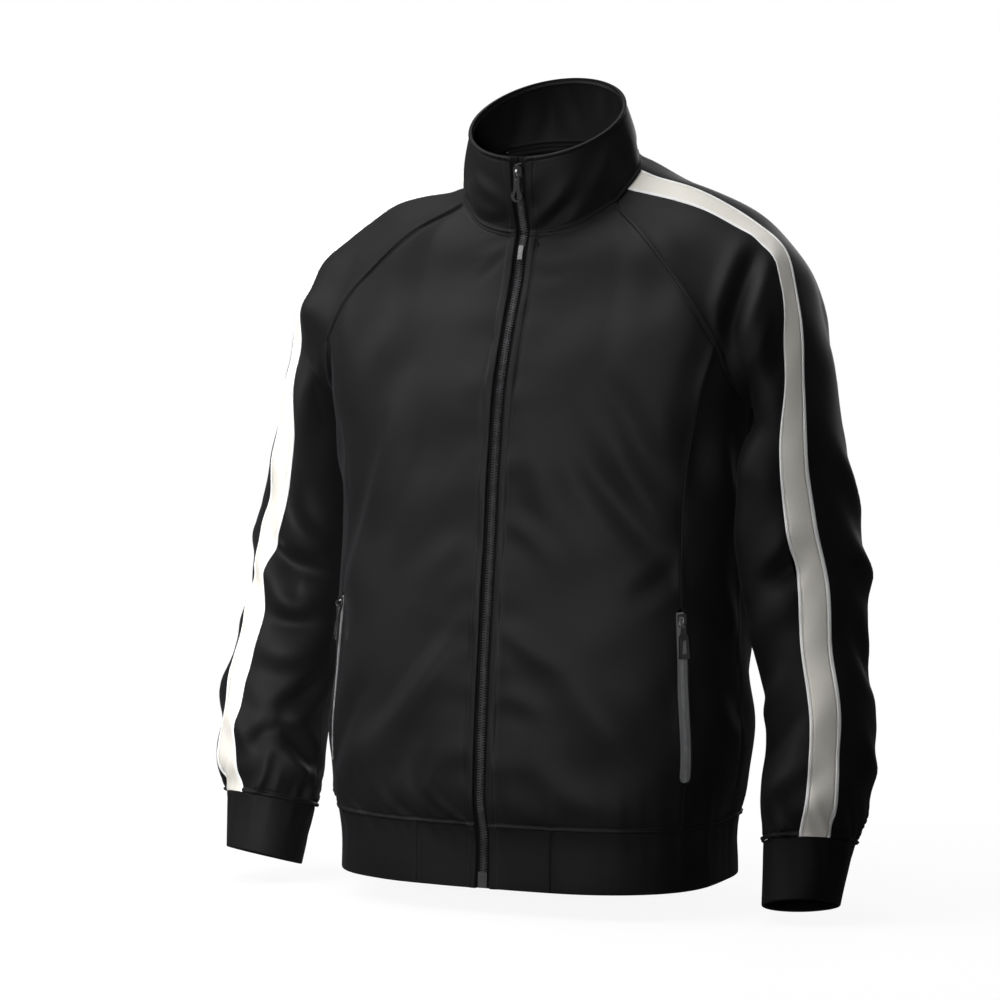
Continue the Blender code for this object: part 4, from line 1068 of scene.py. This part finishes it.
def add_collar(looks):
    """The stand collar, from the zip round to the zip, with its front corners rounded."""
    front = graded(0, CORNER, NECK_FRONT_LENGTH, CLOTH_STEP, (True, False))
    side = graded(ARM_CORNER, ARM_BACK_CORNER, NECK_SIDE_LENGTH, CLOTH_STEP, (False, False))
    back = graded(BACK_CORNER, MIDDLE, NECK_BACK_LENGTH, CLOTH_STEP, (False, False))
    rows = graded(0, 1, COLLAR_RISE, COLLAR_STEP, (True, True))
    skin = whole(collar_skin(front, side, back, rows))
    turns = np.unwrap(np.arctan2(skin[0, :, 0], BASE_MIDDLE - skin[0, :, 1]))
    turns = np.degrees(np.where(turns < 0, turns + 2 * np.pi, turns))

    def place(turn, share):
        turn = np.mod(turn, 360)
        base, rim = read_along(turn, turns, skin[0]), read_along(turn, turns, skin[-1])
        return base + share[:, None] * (rim - base)

    lifts = folds_on(skin, COLLAR_FOLDS, place) + 0.5 * unevenness(skin)
    lifts *= held(skin, ("top", "bottom"), 0.006, 0.1)
    beside_zip = np.minimum(distance_from(skin, "first"), distance_from(skin, "last"))
    inside = (COLLAR_ROUND - beside_zip[-1]).clip(0, COLLAR_ROUND)
    drop = COLLAR_ROUND - np.sqrt(COLLAR_ROUND**2 - inside**2)
    share = rows[:, None] ** 3
    skin = skin - (share * drop)[..., None] * unit(skin[-1] - skin[0])
    edges = {"bottom": FELLED, "top": RIM, "first": FOLDED, "last": FOLDED}
    add_shell("cloth_collar", skin, lifts, COLLAR_THICK, edges, looks, "cloth", ["collar"])


def add_sleeve(side, folds, looks):
    """A sleeve with its stripe, piping and cuff."""
    places = sleeve_places()
    rows = graded(0, CUFF_LOOP, SLEEVE_RUN, CLOTH_STEP, (True, True))
    skin = sleeve_skin(places, rows, side)
    closer = RIGHT_UNEVENNESS if side == "right" else 1
    lifts = folds_on(skin, folds, sleeve_place) + unevenness(skin * closer)
    lifts *= held(skin, ("top",), 0.020)
    lifts = lifts * held(skin, ("bottom",), 0.012, 0.3) + gathered(skin, "bottom", *SLEEVE_GATHERS)
    ends = [column_at(places, place) for place in (0, *STRIPE_EDGES, ARM_END)]
    pieces = (
        ("sleeve_front", "cloth", {"bottom": FELLED, "top": PLAIN, "first": PLAIN}),
        ("piping_front", "piping", SEWN),
        ("stripe", "stripe", {}),
        ("piping_back", "piping", SEWN),
        ("sleeve_back", "cloth", {"bottom": FELLED, "top": PLAIN, "last": PLAIN}),
    )
    for piece, look, edges, part, part_lifts in panels_of(skin, lifts, pieces, ends):
        if look == "piping":
            part_lifts = part_lifts + PIPING_LIFT
        if side == "right":
            part, part_lifts = drawn_up(mirrored(part)), part_lifts[:, ::-1]
            swap = {"first": "last", "last": "first"}
            edges = {swap.get(key, key): edge for key, edge in edges.items()}
        nodes = [f"{piece}_{side}"]
        if piece == "sleeve_back":
            nodes = [f"{piece}_{level}_{side}" for level in ("upper", "lower")]
        add_shell(f"cloth_{piece}_{side}", part, part_lifts, CLOTH_THICK, edges, looks, look, nodes)
    rows = graded(CUFF_LOOP, END_LOOP, CUFF_RUN, BAND_STEP, (True, True))
    skin = sleeve_skin(places, rows, side)
    lifts = gathered(skin, "top", *CUFF_GATHERS) + 0.5 * unevenness(skin)
    lifts[:, -1] = lifts[:, 0]
    if side == "right":
        skin, lifts = drawn_up(mirrored(skin)), lifts[:, ::-1]
    edges = {"bottom": PLAIN, "top": PLAIN}
    cuff = f"cuff_{side}"
    add_shell(f"cloth_{cuff}", skin, lifts, BAND_THICK, edges, looks, "rib", [cuff], True)


# Zips


def zip_skin(across):
    """The skin over the front zip at places across it, from the hem to the rim."""
    across = np.array(across)
    neck = NECK_FRONT[0].height
    heights = np.linspace(0.0, neck, round(neck / ZIP_STEP) + 1)[:, None] + 0 * across
    front = torso_point(across / torso_sizes(heights)[0], heights)
    rows = np.linspace(0, 1, round(COLLAR_RISE / ZIP_STEP) + 1)
    collar = collar_between(front[-1], rim_point(across / RIM_HALF_WIDTH), rows)
    return np.concatenate([front, collar[1:]])


def frames_at(points, out, lengths):
    """Places at these lengths along a line, each with its directions across, outward and up."""
    along = lengths_along(points)
    up = unit(read_along(lengths, along, np.gradient(points, axis=0)))
    out = read_along(lengths, along, out)
    out = unit(out - up * (out * up).sum(axis=1, keepdims=True))
    return read_along(lengths, along, points), np.stack([np.cross(up, out), out, up], axis=1)


def block(size, chamfer):
    """The corners and faces of a block with chamfered edges."""
    form = bmesh.new()
    bmesh.ops.create_cube(form, size=1.0, matrix=Matrix.Diagonal((*size, 1)))
    if chamfer:
        bmesh.ops.bevel(form, geom=form.edges[:], offset=chamfer, segments=1, affect="EDGES")
    form.verts.index_update()
    corners = np.array([corner.co for corner in form.verts])
    faces = [[corner.index for corner in face.verts] for face in form.faces]
    form.free()
    return corners, faces


def copies(name, form, places, frames):
    """One mesh of a block repeated at places, turned to each one's directions."""
    corners, faces = form
    points = places[:, None] + np.einsum("ij,njk->nik", corners, frames) - NECK_HOLD
    starts = len(corners) * np.arange(len(places))
    faces = [[start + corner for corner in face] for start in starts for face in faces]
    return new_mesh(name, points.reshape(-1, 3).tolist(), faces)


def turned(frames, degrees):
    """Directions across and up, turned about the one outward."""
    turn = math.radians(degrees)
    across, out, up = frames[:, 0], frames[:, 1], frames[:, 2]
    new_across = across * math.cos(turn) + up * math.sin(turn)
    new_up = up * math.cos(turn) - across * math.sin(turn)
    return np.stack([new_across, out, new_up], axis=1)


def toothed(name, points, out, span, form, pitch, middle, depth, tilt=0.0):
    """Two rows of teeth that mesh along a line, between two lengths along it."""
    places, frames = [], []
    for order in (1, -1):
        lengths = np.arange(span[0], span[1], pitch) + (pitch / 2 if order == 1 else 0)
        spots, directions = frames_at(points, out, lengths)
        places.append(spots + order * middle * directions[:, 0] - depth * directions[:, 1])
        frames.append(turned(directions, order * tilt))
    return copies(name, form, np.concatenate(places), np.concatenate(frames))


def add_front_zip(looks):
    """The tapes and teeth of the front zip."""
    for side, order in (("left", 1), ("right", -1)):
        across = np.sort(order * np.linspace(*TAPE_EDGES, 6))
        skin = zip_skin(across)
        skin = skin - TAPE_DEPTH * skin_normals(skin)
        flat = np.zeros(skin.shape[:2])
        tape = f"tape_{side}"
        add_shell(tape, skin, flat, TAPE_THICK, {}, looks, "tape", [f"zip_{tape}"])
    skin = zip_skin((-0.002, 0.0, 0.002))
    points, out = skin[:, 1], skin_normals(skin)[:, 1]
    span = (BOX_TOP, lengths_along(points)[-1] - TEETH_END)
    tooth = (block(TOOTH, BLOCK_CHAMFER), TOOTH_PITCH, TOOTH_MIDDLE, TOOTH_DEPTH)
    mesh = toothed("teeth", points, out, span, *tooth)
    add_piece("teeth", mesh, looks["teeth"], JACKET, ["zip_chain"])


def add_pocket_zip(side, skin, column, rows, looks):
    """The strip and coil of a pocket's zip, down the column of its seam."""
    low, high = POCKET_SHARES
    inside = (rows > low) & (rows < high)
    points, out = skin[inside, column], skin_normals(skin)[inside, column]
    length = lengths_along(points)[-1]
    spots, frames = frames_at(points, out, np.linspace(0, length, round(length / ZIP_STEP)))
    across = np.linspace(-0.5, 0.5, 7) * (POCKET_OPENING + STRIP_LAP)
    strip = spots[:, None] + across[:, None] * frames[:, None, 0] - STRIP_DEPTH * frames[:, None, 1]
    flat = np.zeros(strip.shape[:2])
    nodes = [f"pocket_tape_{side}"]
    add_shell(f"pocket_strip_{side}", strip, flat, TAPE_THICK, {}, looks, "grey_zip", nodes)
    name = f"coil_{side}"
    coil = (block(COIL, BLOCK_CHAMFER), COIL_PITCH, COIL_MIDDLE, COIL_DEPTH, COIL_TILT)
    mesh = toothed(name, points, out, (0, length), *coil)
    add_piece(name, mesh, looks["grey"], JACKET, [f"pocket_coil_{side}"])


def finish_metal(looks):
    """Looks and soft edges on the sliders, pulls, box and clip."""
    names = ["zip_box", "zip_clip", "zip_slider", "zip_pull"]
    names += [f"pocket_{piece}_{side}" for piece in ("slider", "pull") for side in ("left", "right")]
    for name in names:
        piece = bpy.data.objects[name]
        for slot in piece.material_slots:
            slot.material = looks["bright_metal" if name in ("zip_box", "zip_clip") else "metal"]
        soft = piece.modifiers.new("soft edges", "BEVEL")
        soft.width, soft.segments, soft.limit_method = METAL_ROUND, 2, "ANGLE"
        soft.harden_normals = True


# Scene


def add_stage(name, points, faces, look):
    """A white surface that the camera sees and that shadows fall on, but that doesn't light the jacket."""
    mesh = new_mesh(name, points, faces)
    mesh.materials.append(look)
    made = linked(name, mesh)
    made.visible_diffuse = made.visible_glossy = made.visible_shadow = False
    return made


def add_studio():
    """A white floor round the jacket and white walls behind it on every side."""
    level, size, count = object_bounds()[0][2] - FLOOR_GAP, WALL_REACH, WALL_SIDES
    floor_look = new_material("white floor", 0.9, specular=0.0)
    place = node_of(floor_look, "ShaderNodeTexCoord").outputs["Object"]
    fade = node_of(floor_look, "ShaderNodeTexGradient", {"Vector": place}, gradient_type="SPHERICAL")
    shade = {0: fade.outputs["Fac"], 1: FLOOR_SHADE}
    tint = node_of(floor_look, "ShaderNodeMath", shade, operation="MULTIPLY")
    glow = node_of(floor_look, "ShaderNodeMath", {0: 1.0, 1: tint.outputs[0]}, operation="SUBTRACT")
    link(floor_look, tint.outputs[0], "Base Color")
    link(floor_look, glow.outputs[0], "Emission Strength")
    set_inputs(shader_of(floor_look), {"Emission Color": WHITE})
    turns = np.linspace(0, 2 * math.pi, count, endpoint=False)
    ring = [(math.cos(turn), math.sin(turn)) for turn in turns]
    floor = add_stage("floor", [(x, y, 0.0) for x, y in ring], [list(range(count))], floor_look)
    floor.location[2], floor.scale = level, (FLOOR_REACH, FLOOR_REACH, FLOOR_REACH)
    wall_look = new_material("white walls", 1.0, specular=0.0)
    set_inputs(shader_of(wall_look), {"Base Color": BLACK, "Emission Color": WHITE, "Emission Strength": 1.0})
    points = [(size * x, size * y, z) for z in (level - 0.01, size) for x, y in ring]
    points += [(0, 0, level - 0.01), (0, 0, size)]
    faces = []
    for i in range(count):
        after = (i + 1) % count
        faces += [[i, after, count + after, count + i], [2 * count, after, i]]
        faces.append([2 * count + 1, count + i, count + after])
    add_stage("walls", points, faces, wall_look)


def add_area_light(name, direction, size, power, aim=(0, 0, -0.20), spread=180):
    """A round lamp in this direction from the spot that it lights."""
    data = bpy.data.lights.new(name, "AREA")
    data.shape, data.size, data.energy, data.spread = "DISK", size, power, math.radians(spread)
    lamp = linked(name, data)
    towards = Vector(direction).normalized()
    lamp.location = Vector(aim) + LIGHT_DISTANCE * towards
    lamp.rotation_euler = towards.to_track_quat("Z", "Y").to_euler()


def add_lights():
    """Soft light from the wearer's right and above, and little from anywhere else."""
    world = bpy.data.worlds.new("studio")
    world.use_nodes = True
    set_inputs(world.node_tree.nodes["Background"], {"Color": WHITE, "Strength": WORLD_LIGHT})
    bpy.context.scene.world = world
    for light in LIGHTS:
        add_area_light(*light)


def add_camera():
    """The view from the wearer's left front."""
    turn, rise = math.radians(CAMERA_TURN), math.radians(CAMERA_RISE)
    aim = Vector((-AIM_LEFT * math.cos(turn), -AIM_LEFT * math.sin(turn), AIM_HEIGHT)) - Vector(NECK_HOLD)
    back = Vector((math.sin(turn) * math.cos(rise), -math.cos(turn) * math.cos(rise), math.sin(rise)))
    data = bpy.data.cameras.new("camera")
    data.lens, data.sensor_width = CAMERA_LENS, 36
    camera = linked("camera", data)
    camera.location = aim + CAMERA_DISTANCE * back
    camera.rotation_euler = (-back).to_track_quat("-Z", "Y").to_euler()
    bpy.context.scene.camera = camera


def main():
    bpy.context.scene.view_settings.view_transform = "Standard"
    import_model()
    add_camera()
    add_lights()
    add_studio()
    looks = make_looks()
    add_body(looks)
    add_hem(looks)
    add_collar(looks)
    add_sleeve("left", LEFT_SLEEVE_FOLDS, looks)
    add_sleeve("right", RIGHT_SLEEVE_FOLDS, looks)
    add_front_zip(looks)
    finish_metal(looks)


main()
